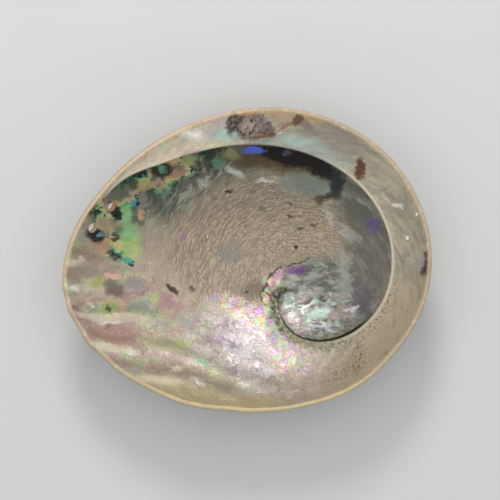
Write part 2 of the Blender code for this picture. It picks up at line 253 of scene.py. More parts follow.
# %% Ribs, ridges, the seam and the row of breathing holes
SPIRAL_GROWTH = 0.35
SUTURE_TURN = 310.0
SUTURE_REACH = 53.5
SUTURE_DEPTH = 1.1
RIBS_A_TURN = 12
RIB_HEIGHT = 0.45
GROWTH_STEP = 21.0
GROWTH_HEIGHT = 0.5
AGE_STEP = 4.0
PORE_TURN = 162.0
PORE_REACH = 107.2
PORE_STEP = 7.2
OPEN_PORES = 2
CLOSED_PORES = 7
COLLAR_RADIUS = 4.2
COLLAR_HEIGHT = 1.4


def growth_place(x, y):
    """Where a point of the back lies in the spiral.

    It gives the width of its turn as a share, 0 and 1 at the seams, and how long ago in degrees
    of growth the shell's edge passed it."""
    reach, turn = polar(x, y, AXIS)
    seam = np.log(SUTURE_REACH) + SPIRAL_GROWTH * np.radians((turn - SUTURE_TURN) % 360.0 - 360.0)
    share = (np.log(np.maximum(reach, 0.5)) - seam) / (SPIRAL_GROWTH * 2 * math.pi)
    age = np.zeros_like(reach)
    newer = rim_reach(turn)
    for look_back in np.arange(AGE_STEP, 400.0, AGE_STEP):
        older = rim_reach(turn + look_back) * math.exp(-SPIRAL_GROWTH * math.radians(look_back))
        age = age + AGE_STEP * np.clip((newer - reach) / np.maximum(newer - older, 1e-3), 0.0, 1.0)
        newer = older
    return share, age


def pore_place(number):
    """Middle of a pore seen from above, 0 being the newest, and its size against the newest."""
    turn = PORE_TURN - PORE_STEP * number
    size = math.exp(-SPIRAL_GROWTH * math.radians(PORE_STEP * number))
    angle = math.radians(turn)
    return AXIS + PORE_REACH * size * np.array([math.cos(angle), math.sin(angle)]), size


def collars(x, y):
    """Raised rims of the pores on the back, with the older ones filled to a dimple."""
    height = np.zeros_like(x)
    for number in range(OPEN_PORES + CLOSED_PORES):
        place, size = pore_place(number)
        distance = polar(x, y, place)[0] / (COLLAR_RADIUS * size)
        bump = np.exp(-distance ** 4) - 0.45 * np.exp(-(2.2 * distance) ** 2)
        height = np.maximum(height, COLLAR_HEIGHT * size * bump)
    return height


def back_relief(x, y):
    """How far the finished back stands out from the plain one."""
    share, age = growth_place(x, y)
    seam = share - np.round(share)
    reach = polar(x, y, AXIS)[0]
    groove = SUTURE_DEPTH * smooth(reach, 4.0, 20.0) * np.exp(-(seam / 0.045) ** 2)
    ribs = RIB_HEIGHT * smooth(reach, 4.0, 20.0) * np.sin(2 * math.pi * RIBS_A_TURN * share)
    wave = np.sin(2 * math.pi * age / GROWTH_STEP) + 0.5 * np.sin(2 * math.pi * age / 8.7 + 1.0)
    growth = GROWTH_HEIGHT * smooth(reach, 15.0, 45.0) * wave
    relief = collars(x, y) - groove + ribs + growth - ripples(x, y)
    unworn = smooth(polar(x, y, WORN_SPOT)[0], 8.0, 26.0)
    return relief * unworn * (1 - smooth(share_of_rim(x, y), 0.93, 1.0))


print("newest breathing hole at", pore_place(0)[0].round(1), "mm")

# %% [markdown]
# ## The finer relief of the hollow
#
# The CAD solid leaves out what is only felt with a fingertip. The nacre has soft waves that break
# up the light, and the lump on the shelf is knobbly. Sums of sine waves in mixed directions look
# natural and give the same shape on every run.

# %% Waves of the nacre and the lump
BLISTER = np.array([1.5, 64.0])
BLISTER_SIZE = np.array([11.0, 6.0])
BLISTER_HEIGHT = 1.5


def swell(x, y, length, seed):
    """Soft uneven waves of about this length, from -1 to 1."""
    total = np.zeros_like(x)
    random = np.random.default_rng(seed)
    for _ in range(7):
        angle = random.uniform(0, math.pi)
        pull = random.uniform(0.75, 1.35) * 2 * math.pi / length
        shift = random.uniform(0, 2 * math.pi)
        bend = 0.7 * np.sin(x * pull * 0.43 + y * pull * 0.31 + shift * 2)
        total = total + np.sin(pull * (x * math.cos(angle) + y * math.sin(angle)) + shift + bend)
    return total / 4.0


def hollow_relief(x, y):
    """How far the finished nacre stands out from the plain wall."""
    share = share_of_rim(x, y)
    calm = 1 - smooth(share, 0.88, 1.0)
    waves = 0.22 * swell(x, y, 17.0, 3) + 0.11 * swell(x, y, 8.0, 5)
    return calm * waves


def lump(x, y):
    """The lump grown over on the shelf."""
    dx = (x - BLISTER[0]) / BLISTER_SIZE[0]
    dy = (y - BLISTER[1]) / BLISTER_SIZE[1]
    bumps = 1 + 0.2 * np.sin(x / 2.3 + y / 3.1) + 0.15 * np.sin(y / 1.4 - x / 4.7)
    return BLISTER_HEIGHT * bumps * np.exp(-(dx * dx + dy * dy) ** 2)


# %% [markdown]
# ## Drawing the shell in sections
#
# A potter turns a bowl with one profile. This shell needs a new profile at each turn, because its
# shelf widens as it goes round. Each section runs over the wall of the hollow, back under the
# shelf, round the shelf's lip, over its top to the rim, and home over the back. Together they fan
# round the axis and close on themselves, so the shell is one unbroken skin.

# %% The wall and helpers for the round parts
WALL_MIDDLE = 4.6
WALL_RIM = 2.8


def wall(turn, share):
    """Points of the hollow's wall, at this share of the way from the axis to the rim."""
    angle = np.radians(turn)
    reach = rim_reach(turn) * share
    x = AXIS[0] + reach * np.cos(angle)
    y = AXIS[1] + reach * np.sin(angle)
    thickness = WALL_RIM + (WALL_MIDDLE - WALL_RIM) * (1 - smooth(share, 0.6, 1.0))
    thickness = thickness + ripples(x, y) + hollow_relief(x, y)
    return np.stack([x, y, back(x, y)], -1) + normal(x, y) * thickness[..., None]


def spread(count):
    """Numbers from 0 to 1, closer together at both ends."""
    even = np.linspace(0, 1, count)
    return 0.55 * even + 0.45 * smooth(even)


def hermite(start, leave, end, arrive, count):
    """Points of smooth curves between starts and ends, without the ends themselves."""
    t = np.linspace(0, 1, count + 2)[1:-1][None, :, None]
    return (
        (1 + 2 * t) * (1 - t) ** 2 * start[:, None]
        + t * (1 - t) ** 2 * leave[:, None]
        + t * t * (3 - 2 * t) * end[:, None]
        + t * t * (t - 1) * arrive[:, None]
    )


def arc(middle, half, bulge, count):
    """Points of half circles from middle + half to middle - half by way of bulge, ends left out."""
    angle = np.linspace(math.pi / 2, -math.pi / 2, count + 2)[1:-1][None, :, None]
    return middle[:, None] + half[:, None] * np.sin(angle) + bulge[:, None] * np.cos(angle)


# %% The sections
START_TURN = 160.0
END_TURN = 520.0
EDGE_TURNS = [160, 180, 203, 225, 243, 270, 315, 360, 405, 450, 480, 495, 507, 520]
EDGE_REACHES = [0.0, 7.9, 9.9, 12.4, 15.4, 21.3, 31.2, 43.4, 56.6, 70.0, 82.0, 90.8, 101.4, 108.5]
EDGE_HEIGHTS = [6.0, 9.0, 11.6, 14.2, 16.8, 21.0, 28.5, 35.5, 39.5, 41.0, 42.8, 44.8, 47.2, 50.0]
HOLLOWS = [0.0, 0.9, 1.4, 2.0, 2.6, 3.6, 5.6, 7.6, 9.0, 9.0, 6.5, 4.5, 2.0, 1.0]
SHELF_TURNS = [160, 200, 270, 340, 380]
SHELF_SHARES = [0.0, 0.05, 0.45, 1.0, 1.0]
SHELF_SLOPE = 5
CORNER_INSET = 1.4
CORNER_RISE = 2.4
LIP_THICKNESS = 1.5
COLUMNS = 400
WALL_ROWS = 80
UNDER_ROWS = 8
LIP_ROWS = 5
RIM_ROWS = 5
BACK_ROWS = 62
ROWS = WALL_ROWS + UNDER_ROWS + LIP_ROWS + 1 + WALL_ROWS + RIM_ROWS + BACK_ROWS
FAR_AWAY = 60.0


def sections(turn):
    """Closed sections at these turns, with what each point is told about its own place."""
    out = outward(turn)
    up = np.array([0.0, 0.0, 1.0])
    reach = rim_reach(turn)
    rim_outside = np.stack([*(AXIS + (reach * out[:, :2].T).T).T, np.zeros_like(turn)], -1)
    rim_outside[:, 2] = back(rim_outside[:, 0], rim_outside[:, 1])
    rim_inside = wall(turn, np.ones_like(turn))
    inner_reach = polar(rim_inside[:, 0], rim_inside[:, 1], AXIS)[0]

    to_end = smooth(turn, END_TURN - 8, END_TURN)
    edge = np.minimum(curve(EDGE_TURNS, EDGE_REACHES, turn) / inner_reach, 1.0)
    edge = edge + (1 - edge) * to_end
    shelf_width = (1 - edge) * inner_reach
    on_edge = wall(turn, edge)
    highest = rim_inside[:, 2] - shelf_width / SHELF_SLOPE
    height = np.minimum(curve(EDGE_TURNS, EDGE_HEIGHTS, turn), highest)
    above = np.maximum(height - on_edge[:, 2], 0.0)
    begun = smooth(turn, START_TURN, START_TURN + 34)
    grown = np.sqrt(begun * (1 - smooth(turn, END_TURN - 14, END_TURN)))
    room = np.minimum(above, shelf_width) / 2
    hollow = np.minimum(curve(EDGE_TURNS, HOLLOWS, turn), room) * grown
    lip = (np.minimum(LIP_THICKNESS, room) / 2 * grown)[:, None]
    free_edge = np.stack([*(AXIS + (edge * inner_reach * out[:, :2].T).T).T, on_edge[:, 2] + above], -1)
    lip_top = on_edge + (free_edge - on_edge) * grown[:, None] + out * lip

    flat = (smooth(turn, 230, 330) * (1 - smooth(turn, 470, END_TURN - 8)))[:, None]
    shelf_corner = rim_outside - out * CORNER_INSET + up * CORNER_RISE
    rim_inside = rim_inside + (shelf_corner - rim_inside) * flat

    lower_share = np.minimum(edge + hollow / reach, 1.0)[:, None] * spread(WALL_ROWS)
    lower = wall(np.broadcast_to(turn[:, None], lower_share.shape), lower_share)

    steps = spread(WALL_ROWS)
    upper_share = edge[:, None] + (1 - edge)[:, None] * steps
    bowl = wall(np.broadcast_to(turn[:, None], upper_share.shape), upper_share)
    from_edge = shelf_width[:, None] * steps
    bowl[..., 2] += (lip_top - on_edge)[:, 2:] * np.exp(-((from_edge / 11.0) ** 1.6))
    shelf = lip_top[:, None] + (rim_inside - lip_top)[:, None] * steps[None, :, None]
    climb = rim_inside[:, 2] - lip_top[:, 2]
    shelf[..., 2] = lip_top[:, None, 2] + climb[:, None] * steps ** 1.7
    shelf_x = shelf[..., 0]
    shelf_y = shelf[..., 1]
    waves = 0.16 * swell(shelf_x, shelf_y, 14.0, 8) + 0.07 * swell(shelf_x, shelf_y, 5.0, 9)
    shelf[..., 2] += waves * smooth(steps, 0.0, 0.2) * (1 - smooth(steps, 0.8, 1.0))
    shelf_share = curve(SHELF_TURNS, SHELF_SHARES, turn)[:, None, None]
    upper = bowl + (shelf - bowl) * shelf_share
    to_lip = (1 - smooth(steps, 0, 0.25))[None, :, None]
    to_rim = smooth(steps, 0.75, 1)[None, :, None]
    upper = upper + (lip_top - upper[:, 0])[:, None] * to_lip
    upper = upper + (rim_inside - upper[:, -1])[:, None] * to_rim
    upper[..., 2] += lump(upper[..., 0], upper[..., 1])

    lip_under = lip_top - 2 * lip * up
    leave = lower[:, -1] - lower[:, -2]
    leave = leave / (np.linalg.norm(leave, axis=-1, keepdims=True) + 1e-9)
    gap = np.linalg.norm(lip_under - lower[:, -1], axis=-1, keepdims=True)
    arrive = -(out * 1.3 + up * 0.15) * gap
    under = hermite(lower[:, -1], leave * gap * 1.3, lip_under, arrive, UNDER_ROWS)
    nose = arc(lip_top - lip * up, -lip * up, -lip * out, LIP_ROWS)
    nose = np.concatenate([lip_under[:, None], nose], 1)

    half = (rim_inside - rim_outside) / 2
    round_out = out - (out * half).sum(-1, keepdims=True) * half / (half * half).sum(-1, keepdims=True)
    round_out = round_out / np.linalg.norm(round_out, axis=-1, keepdims=True)
    round_out = round_out * np.linalg.norm(half, axis=-1, keepdims=True) * 0.8
    rim = arc((rim_inside + rim_outside) / 2, half, round_out, RIM_ROWS)

    back_share = 1 - spread(BACK_ROWS)[None, :] * np.ones((len(turn), 1))
    place = AXIS + (reach[:, None] * back_share)[..., None] * out[:, None, :2]
    x = place[..., 0]
    y = place[..., 1]
    behind = np.stack([x, y, back(x, y)], -1) - normal(x, y) * back_relief(x, y)[..., None]

    points = np.concatenate([lower, under, nose, upper, rim, behind], 1)
    before_upper = WALL_ROWS + UNDER_ROWS + LIP_ROWS + 1
    before_back = ROWS - BACK_ROWS
    row = np.arange(ROWS)
    notes = {}
    on_shelf = (row >= before_upper - 3) & (row < before_back)
    notes["shelf"] = on_shelf * shelf_share[..., 0] * grown[:, None] ** 0.5
    notes["from_edge"] = np.full(points.shape[:2], FAR_AWAY)
    notes["from_edge"][:, before_upper:before_upper + WALL_ROWS] = from_edge
    notes["from_edge"][:, before_upper - LIP_ROWS:before_upper] = 0.0
    notes["to_lip"] = np.full(points.shape[:2], FAR_AWAY)
    lower_reach = polar(lower[..., 0], lower[..., 1], AXIS)[0]
    notes["to_lip"][:, :WALL_ROWS] = (edge * inner_reach)[:, None] - lower_reach
    notes["to_lip"][:, WALL_ROWS:before_upper - LIP_ROWS] = -2.0
    coiled = smooth(turn, START_TURN + 4, START_TURN + 14) * (1 - smooth(turn, 325, 352))
    notes["coiled"] = coiled[:, None] * np.ones(ROWS)
    notes["from_rim"] = np.abs(reach[:, None] - polar(points[..., 0], points[..., 1], AXIS)[0])
    notes["outside"] = smooth(row, before_back - RIM_ROWS - 1, before_back) * np.ones((len(turn), 1))
    return points, notes


# %% [markdown]
# ## From sections to a skin
#
# The sections' points are laid out like a grid on a globe, which a few lines of numpy turn into four
# sided faces. Next to its place each point keeps notes, such as its distance from the rim. Blender
# stores such a note as an attribute, and the finishes read it later to know where they are.

# %% The skin with its notes
turns = np.linspace(START_TURN, END_TURN, COLUMNS + 1)
points, notes = sections(turns)
grid = np.arange(points.shape[0] * ROWS).reshape(-1, ROWS)
onward = np.roll(grid, -1, axis=1)
faces = np.stack([grid[:-1], onward[:-1], onward[1:], grid[1:]], -1)[:, : ROWS - 1].reshape(-1, 4)
places = points.reshape(-1, 3)
share, age = growth_place(places[:, 0], places[:, 1])
notes["age"] = age
notes["seam"] = share - np.round(share)
notes["rib"] = np.sin(2 * math.pi * RIBS_A_TURN * share)
notes["ripple"] = ripples(places[:, 0], places[:, 1]) / RIPPLE_HEIGHT
notes["collar"] = collars(places[:, 0], places[:, 1]) / COLLAR_HEIGHT

skin = bpy.data.meshes.new("abalone_shell")
skin.from_pydata((places * MM).tolist(), [], faces.tolist())
for name, values in notes.items():
    layer = skin.attributes.new(name, "FLOAT", "POINT")
    layer.data.foreach_set("value", np.asarray(values, np.float32).reshape(-1))

work = bmesh.new()
work.from_mesh(skin)
bmesh.ops.remove_doubles(work, verts=work.verts, dist=0.00003 * MM)
bmesh.ops.triangulate(work, faces=work.faces)
bmesh.ops.recalc_face_normals(work, faces=work.faces)
work.to_mesh(skin)
work.free()
skin.shade_smooth()
shell = bpy.data.objects.new("abalone_shell", skin)
bpy.context.scene.collection.objects.link(shell)
print("skin:", len(skin.polygons), "triangles")

# %% [markdown]
# ## Worn flat, and drilled
#
# The shell rocks on its back until it has worn a small flat spot, and it lies still on that. A big
# slab below the floor, taken away with a Boolean, gives the same spot. The animal breathed through
# a row of holes: it kept the two newest open, and round tools drill them.

# %% The flat spot and the two open holes
PORE_RADIUS = 2.3
PORE_DEPTH = 16.0
PORE_LEAN = 0.6
PORE_SIDES = 48
WEAR_SIZE = 400.0


def cut(piece, tool):
    """Takes the tool's shape out of the piece, and removes the tool."""
    modifier = piece.modifiers.new(tool.name, "BOOLEAN")
    modifier.operation = "DIFFERENCE"
    modifier.object = tool
    bpy.context.view_layer.update()
    graph = bpy.context.evaluated_depsgraph_get()
    finished = bpy.data.meshes.new_from_object(piece.evaluated_get(graph))
    piece.modifiers.clear()
    piece.data = finished
    bpy.data.objects.remove(tool)


bpy.ops.mesh.primitive_cube_add(size=WEAR_SIZE * MM, location=(0.0, 0.0, -WEAR_SIZE / 2 * MM))
cut(shell, bpy.context.object)
for number in range(OPEN_PORES):
    place, size = pore_place(number)
    across = normal(place[:1], place[1:])[0]
    lean = Vector(across) + Vector((0.0, 0.0, PORE_LEAN))
    middle = Vector((*place, float(back(place[:1], place[1:])[0]))) + Vector(across) * WALL_RIM / 2
    bpy.ops.mesh.primitive_cylinder_add(
        vertices=PORE_SIDES,
        radius=PORE_RADIUS * size * MM,
        depth=PORE_DEPTH * MM,
        location=middle * MM,
        rotation=lean.to_track_quat("Z", "Y").to_euler(),
    )
    cut(shell, bpy.context.object)
shell.data.name = "abalone_shell"
shell.data.materials.clear()
print("drilled skin:", len(shell.data.polygons), "faces")

# %% [markdown]
# The finer relief may reach a hair past the CAD solid, which was drawn with far fewer triangles. The
# skin is drawn in by that hair about the middle of the box, so that the size stays the stated one.

# %% Fitting the skin into the CAD box
corners = np.empty(len(shell.data.vertices) * 3)
shell.data.vertices.foreach_get("co", corners)
corners = corners.reshape(-1, 3)
low, high = np.array(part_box("shell"))
middle = (low + high) / 2
room = np.min((high - low) / (corners.max(0) - corners.min(0)))
offset = (corners.max(0) + corners.min(0)) / 2
fitted = middle + (corners - offset) * min(room, 1.0)
fitted[:, 2] = np.clip(fitted[:, 2] - fitted[:, 2].min() + low[2], low[2], high[2])
shell.data.vertices.foreach_set("co", fitted.reshape(-1))
shell.data.update()
moved = ((middle - offset) / MM).round(2)
print("drawn in to", round(float(room), 4), "of its size, moved by", moved, "mm")
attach(shell, "root")
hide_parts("shell")

# %% [markdown]
# ## Writing finishes as sums
#
# A material in Blender is a web of nodes, and wiring one by hand is slow to read. Here a Strand wraps
# one socket and knows how to add, take away, multiply and divide, so a mask is written like a sum.
# Plain values make Math nodes. Colours and vectors make Vector Math nodes, because a Math node
# would turn a colour grey.

# %% The strand and the finish
class Strand:
    """A value or colour on its way through a finish."""

    def __init__(self, finish, socket):
        self.finish = finish
        self.socket = socket

    def joined(self, operation, first, second):
        wide = any(is_wide(part) for part in (first, second))
        kind = "ShaderNodeVectorMath" if wide else "ShaderNodeMath"
        return self.finish.node(kind, {"operation": operation}, {0: first, 1: second})

    def __add__(self, other):
        return self.joined("ADD", self, other)

    def __radd__(self, other):
        return self.joined("ADD", other, self)

    def __sub__(self, other):
        return self.joined("SUBTRACT", self, other)

    def __rsub__(self, other):
        return self.joined("SUBTRACT", other, self)

    def __mul__(self, other):
        return self.joined("MULTIPLY", self, other)

    def __rmul__(self, other):
        return self.joined("MULTIPLY", other, self)

    def __truediv__(self, other):
        return self.joined("DIVIDE", self, other)

    def __pow__(self, other):
        return self.joined("POWER", self, other)


def is_wide(part):
    """True for a colour or a vector, which has three numbers."""
    if isinstance(part, Strand):
        return part.socket.type != "VALUE"
    return isinstance(part, (tuple, list))


class Finish:
    """A material, and the one way to add a node to it."""

    def __init__(self, name):
        self.material = bpy.data.materials.new(name)
        self.material.use_nodes = True
        self.tree = self.material.node_tree
        self.shader = self.tree.nodes["Principled BSDF"]

    def node(self, kind, settings=None, sockets=None, out=0):
        made = self.tree.nodes.new(kind)
        for name, value in (settings or {}).items():
            setattr(made, name, value)
        for key, value in (sockets or {}).items():
            self.fill(made.inputs[key], value)
        return Strand(self, made.outputs[out])

    def fill(self, socket, value):
        """Links a strand to a socket, or sets a number, a vector or a colour on it."""
        if isinstance(value, Strand):
            self.tree.links.new(value.socket, socket)
        elif socket.type == "VALUE":
            socket.default_value = value
        else:
            numbers = value if isinstance(value, (tuple, list)) else (value, value, value)
            socket.default_value = (*numbers, 1.0) if socket.type == "RGBA" else numbers

    def coat(self, **sockets):
        """Fills the shader's own sockets, with their spaces written as underscores."""
        for name, value in sockets.items():
            self.fill(self.shader.inputs[name.replace("_", " ")], value)


# %% [markdown]
# ## Words for surfaces
#
# A few short words cover most of what a surface does. `grain` is cloudy noise of a given size in
# millimetres, `stir` swirls places about, and `lines` are the thin curls where such noise crosses its
# middle. `ramp` is a soft step, `blend` lays one colour over another, and `layers` runs through a row
# of colours. `spot` is a soft oval on the shell seen from above, and `note` reads what the mesh wrote
# down about a point.
#
# Cycles, which draws the picture, has room for only so many values of one material at a time, and a
# material that needs more comes out black. `settled` keeps stirred places in one node that all their
# noise shares, which saves much of that room.

# %% Grain, lines, ramp, blend, layers, spot and note
COLOUR_A = 6
COLOUR_B = 7
COLOUR_OUT = 2


def here(finish):
    """Each point's place on the object, in millimetres."""
    return finish.node("ShaderNodeTexCoord", out="Object") * (1 / MM, 1 / MM, 1 / MM)


def note(finish, name):
    return finish.node("ShaderNodeAttribute", {"attribute_name": name}, out="Fac")


def grain(where, size, detail=3.0, roughness=0.55, twist=0.0, layer=None, out="Fac"):
    """Cloudy noise about 0.5, in clouds of this size. Another layer has other clouds."""
    settings = {"noise_dimensions": "3D"}
    sockets = {
        "Vector": where,
        "Scale": 1.0 / size,
        "Detail": detail,
        "Roughness": roughness,
        "Distortion": twist,
    }
    if layer is not None:
        settings["noise_dimensions"] = "4D"
        sockets["W"] = layer
    return where.finish.node("ShaderNodeTexNoise", settings, sockets, out)


def stir(where, size, detail, roughness):
    """A push for each place, up to half a millimetre each way, in swirls of this size."""
    cloud = grain(where, size, detail, roughness, out="Color")
    parts = where.finish.node("ShaderNodeSeparateColor", None, {"Color": cloud}).socket.node.outputs
    pushes = {axis: Strand(where.finish, part) for axis, part in enumerate(parts)}
    return where.finish.node("ShaderNodeCombineXYZ", None, pushes) - (0.5, 0.5, 0.5)


def settled(vector):
    """The same places from one node of its own, which all noise can share to save room."""
    sockets = {"Vector": vector, "Angle": 0.0}
    return vector.finish.node("ShaderNodeVectorRotate", {"rotation_type": "Z_AXIS"}, sockets)


def ramp(value, low, high, first=0.0, last=1.0):
    """A soft step from first at low to last at high."""
    settings = {"interpolation_type": "SMOOTHSTEP"}
    sockets = {"Value": value, "From Min": low, "From Max": high, "To Min": first, "To Max": last}
    if low > high:
        sockets.update({"From Min": high, "From Max": low, "To Min": last, "To Max": first})
    return value.finish.node("ShaderNodeMapRange", settings, sockets)


def size_of(value):
    """The value without its sign, or a vector's length."""
    if is_wide(value):
        return value.finish.node("ShaderNodeVectorMath", {"operation": "LENGTH"}, {0: value}, "Value")
    return value.finish.node("ShaderNodeMath", {"operation": "ABSOLUTE"}, {0: value})


def lines(where, size, width, detail=2.0, twist=0.0, layer=None):
    """Thin curls, 1 in their middle."""
    return ramp(size_of(grain(where, size, detail, 0.5, twist, layer) - 0.5), width, 0.0)


def blend(mask, under, over):
    """The colour over where the mask is 1, and under where it is 0."""
    settings = {"data_type": "RGBA"}
    sockets = {"Factor": mask, COLOUR_A: under, COLOUR_B: over}
    return mask.finish.node("ShaderNodeMix", settings, sockets, COLOUR_OUT)


def layers(value, stops):
    """Colours one after the other, in the order that nacre shows them as its layers thicken."""
    colours = value.finish.node("ShaderNodeValToRGB", None, {"Fac": value}, "Color")
    scale = colours.socket.node.color_ramp
    while len(scale.elements) < len(stops):
        scale.elements.new(1.0)
    for element, (position, paint) in zip(scale.elements, stops):
        element.position = position
        element.color = (*paint, 1.0)
    return colours


def along(vector, direction):
    """How far a place lies in a direction."""
    sockets = {0: vector, 1: direction}
    return vector.finish.node("ShaderNodeVectorMath", {"operation": "DOT_PRODUCT"}, sockets, "Value")


def spot(where, x, y, width, height, slant=0.0, soft=0.5, strength=1.0):
    """The strength inside an oval of this width and height round a place, and 0 well outside it."""
    local = where - (x, y, 0.0)
    if slant:
        lean_x = math.cos(math.radians(slant))
        lean_y = math.sin(math.radians(slant))
        parts = {
            0: along(local, (lean_x * 2 / width, lean_y * 2 / width, 0.0)),
            1: along(local, (-lean_y * 2 / height, lean_x * 2 / height, 0.0)),
        }
        local = where.finish.node("ShaderNodeCombineXYZ", None, parts)
    else:
        local = local / (width / 2, height / 2, 1.0)
    return ramp(size_of(local), 1 + soft, 1 - soft, 0.0, strength)


def dab(colour, where, marks):
    """Lays marks over a colour: name, place, width, height, slant, softness, strength and paint."""
    for _, x, y, width, height, slant, soft, strength, paint in marks:
        colour = blend(spot(where, x, y, width, height, slant, soft, strength), colour, paint)
    return colour


# %% [markdown]
# ## The nacre
#
# Mother-of-pearl is built of thin layers that split light, so it is grey and cream in one place and
# pink, mint or mauve in the next. The finish lays clouds of such colours on each other, in places
# where this shell has them. Their places are stirred by noise of two sizes, which gives the marks
# the ragged edges of real ones.

# %% Places on the nacre, plain and stirred
nacre = Finish("nacre")
place = here(nacre)
plan = place * (1.0, 1.0, 0.0)
stir_wide = stir(plan, 8.0, 3.0, 0.6)
stir_fine = stir(plan, 2.0, 3.0, 0.65)
swirled = (plan + stir_wide * 14.0 + stir_fine * 6.0) * (1.0, 1.0, 0.0)
stirred_clouds = settled(swirled)
stirred = stirred_clouds + (0.0, 0.0, 0.0)
ragged_clouds = settled((plan + stir_wide * 6.0 + stir_fine * 3.5) * (1.0, 1.0, 0.0))
ragged = ragged_clouds + (0.0, 0.0, 0.0)
streaked = settled(swirled * (0.62, 1.15, 1.0))
drift = settled(plan * (0.8, 1.5, 1.0) + stir_wide * 5.0)
shelf_mask = note(nacre, "shelf")
from_rim = note(nacre, "from_rim")
from_edge = note(nacre, "from_edge")
to_lip = note(nacre, "to_lip")
coiled = note(nacre, "coiled")
ripple = note(nacre, "ripple")

# %% [markdown]
# Much of the nacre follows the coil: it was laid down in turns round it. Arcs are noise that is
# stretched along a circle. Instead of x and y it gets the distance from the coil and the angle
# round it.

# %% Arcs round the coil
COIL_CENTRE = (29.0, -17.0, 0.0)
AWAY_FROM_COIL = (-0.85, 0.53, 0.0)
BESIDE_COIL = (-0.53, -0.85, 0.0)


def arcs_round(width, length, layer, detail=3.0):
    """Noise stretched along circles: fine across them and long round them."""
    sockets = {0: coil_reach / width, 1: coil_bearing * (30.0 / length), 2: layer}
    return grain(nacre.node("ShaderNodeCombineXYZ", None, sockets), 1.0, detail, 0.6)


around = plan - COIL_CENTRE
turned = {0: along(around, BESIDE_COIL), 1: along(around, AWAY_FROM_COIL)}
coil_bearing = nacre.node("ShaderNodeMath", {"operation": "ARCTAN2"}, turned)
coil_reach = size_of(around) + (grain(plan, 12.0) - 0.5) * 5.0

# %% [markdown]
# The ground colour of the hollow is warm cream at the left and below, where new nacre is thick, and
# grey with a green cast at the right and at the top left. At the left the layers thicken and thin
# again within a few millimetres. A cloudy noise stands for their thickness, and a row of colours
# turns it into rings of mauve, rose, cream, straw and mint.

# %% The ground of the hollow
PASTELS = [
    (0.30, (0.20, 0.155, 0.15)),
    (0.38, (0.34, 0.22, 0.19)),
    (0.43, (0.52, 0.35, 0.29)),
    (0.48, (0.46, 0.36, 0.31)),
    (0.52, (0.60, 0.50, 0.36)),
    (0.555, (0.47, 0.50, 0.26)),
    (0.59, (0.30, 0.37, 0.28)),
    (0.63, (0.40, 0.345, 0.34)),
    (0.68, (0.54, 0.46, 0.34)),
    (0.75, (0.36, 0.30, 0.21)),
]
cream_clouds = ramp(grain(stirred_clouds, 16.0), 0.38, 0.62)
hollow = blend(cream_clouds, (0.46, 0.395, 0.285), (0.36, 0.31, 0.225))
hollow = blend(ramp(grain(plan, 3.2, 3.0, 0.6), 0.46, 0.62) * 0.35, hollow, (0.54, 0.49, 0.38))
playful = spot(stirred, -60, -14, 78, 100, -30, 0.5) * 0.65 + 0.3
hollow = blend(playful, hollow, layers(grain(streaked, 11.0, 4.0, 0.6), PASTELS))
hollow = blend(spot(stirred, 55, 18, 62, 104, -20, 0.45), hollow, (0.17, 0.165, 0.13))
hollow = blend(spot(stirred, -24, 41, 96, 42, 26, 0.5) * 0.9, hollow, (0.13, 0.14, 0.105))
smoke = ramp(arcs_round(4.0, 14.0, 2.0, 5.0), 0.46, 0.64)
hollow = blend(smoke * spot(stirred, 57, 8, 58, 84, -10, 0.5) * 0.8, hollow, (0.40, 0.39, 0.34))
milky = ramp(grain(drift, 6.0, 4.0, 0.6), 0.40, 0.60)
hollow = blend(spot(stirred, 30, 38, 34, 15, -14, 0.5) * (milky * 0.7 + 0.15), hollow, (0.33, 0.365, 0.30))

# %% [markdown]
# At the top left, between the scar and the dark rings, pale strokes lie side by side on the grey.

# %% Strokes at the top left
ALONG_STROKES = (0.50, 0.87, 0.0)
ACROSS_STROKES = (0.87, -0.50, 0.0)
swayed = plan + stir_wide * 9.0
stroke_sockets = {0: along(swayed, ACROSS_STROKES) / 1.6, 1: along(swayed, ALONG_STROKES) / 9.0, 2: 1.0}
strokes = grain(nacre.node("ShaderNodeCombineXYZ", None, stroke_sockets), 1.0, 3.0, 0.6)
stroke_place = spot(stirred, -31, 30, 62, 40, 28, 0.5)
hollow = blend(stroke_place * ramp(strokes, 0.50, 0.62) * 0.9, hollow, (0.40, 0.40, 0.315))
hollow = blend(stroke_place * ramp(strokes, 0.46, 0.36) * 0.85, hollow, (0.055, 0.07, 0.06))

# %% [markdown]
# Under the narrow end of the shelf the layers are at their darkest. Their rings run from black over
# sea green, leaf green and yellow to peach there.

# %% Dark rings at the top left
JEWELS = [
    (0.34, (0.30, 0.29, 0.24)),
    (0.40, (0.10, 0.115, 0.095)),
    (0.455, (0.012, 0.018, 0.016)),
    (0.48, (0.03, 0.16, 0.14)),
    (0.505, (0.18, 0.54, 0.26)),
    (0.53, (0.50, 0.58, 0.20)),
    (0.56, (0.72, 0.50, 0.27)),
    (0.60, (0.46, 0.35, 0.28)),
    (0.66, (0.16, 0.165, 0.13)),
]
jewel_field = grain(stirred_clouds, 12.0, 1.5, 0.5, layer=21.0)
jewel_place = spot(stirred, -42, 43, 78, 16, 31, 0.35)
jewel_place = jewel_place + spot(stirred, -62, 18, 22, 36, -8, 0.4)
hollow = blend(ramp(jewel_place, 0.0, 0.8), hollow, layers(jewel_field, JEWELS))

# %% [markdown]
# Where the edge of the shell rippled as it grew, the crests are cream with a painted highlight, and the
# hollows between them are pink and mauve with painted shade. Noise breaks both up, as the real ripples
# fork and fade.

# %% Crests and hollows of the ripples
uneven = ripple + (grain(stirred_clouds, 9.0) - 0.5) * 1.1
# crests: lighter cream, partly the nacre's own cream and partly a painted highlight
hollow = blend(ramp(uneven, 0.20, 0.62) * 0.7, hollow, (0.72, 0.64, 0.48))
# hollows: darker pink and mauve, partly the nacre's own colour and partly painted shade
hollow = blend(ramp(uneven, -0.20, -0.60) * 0.7, hollow, (0.42, 0.255, 0.215))
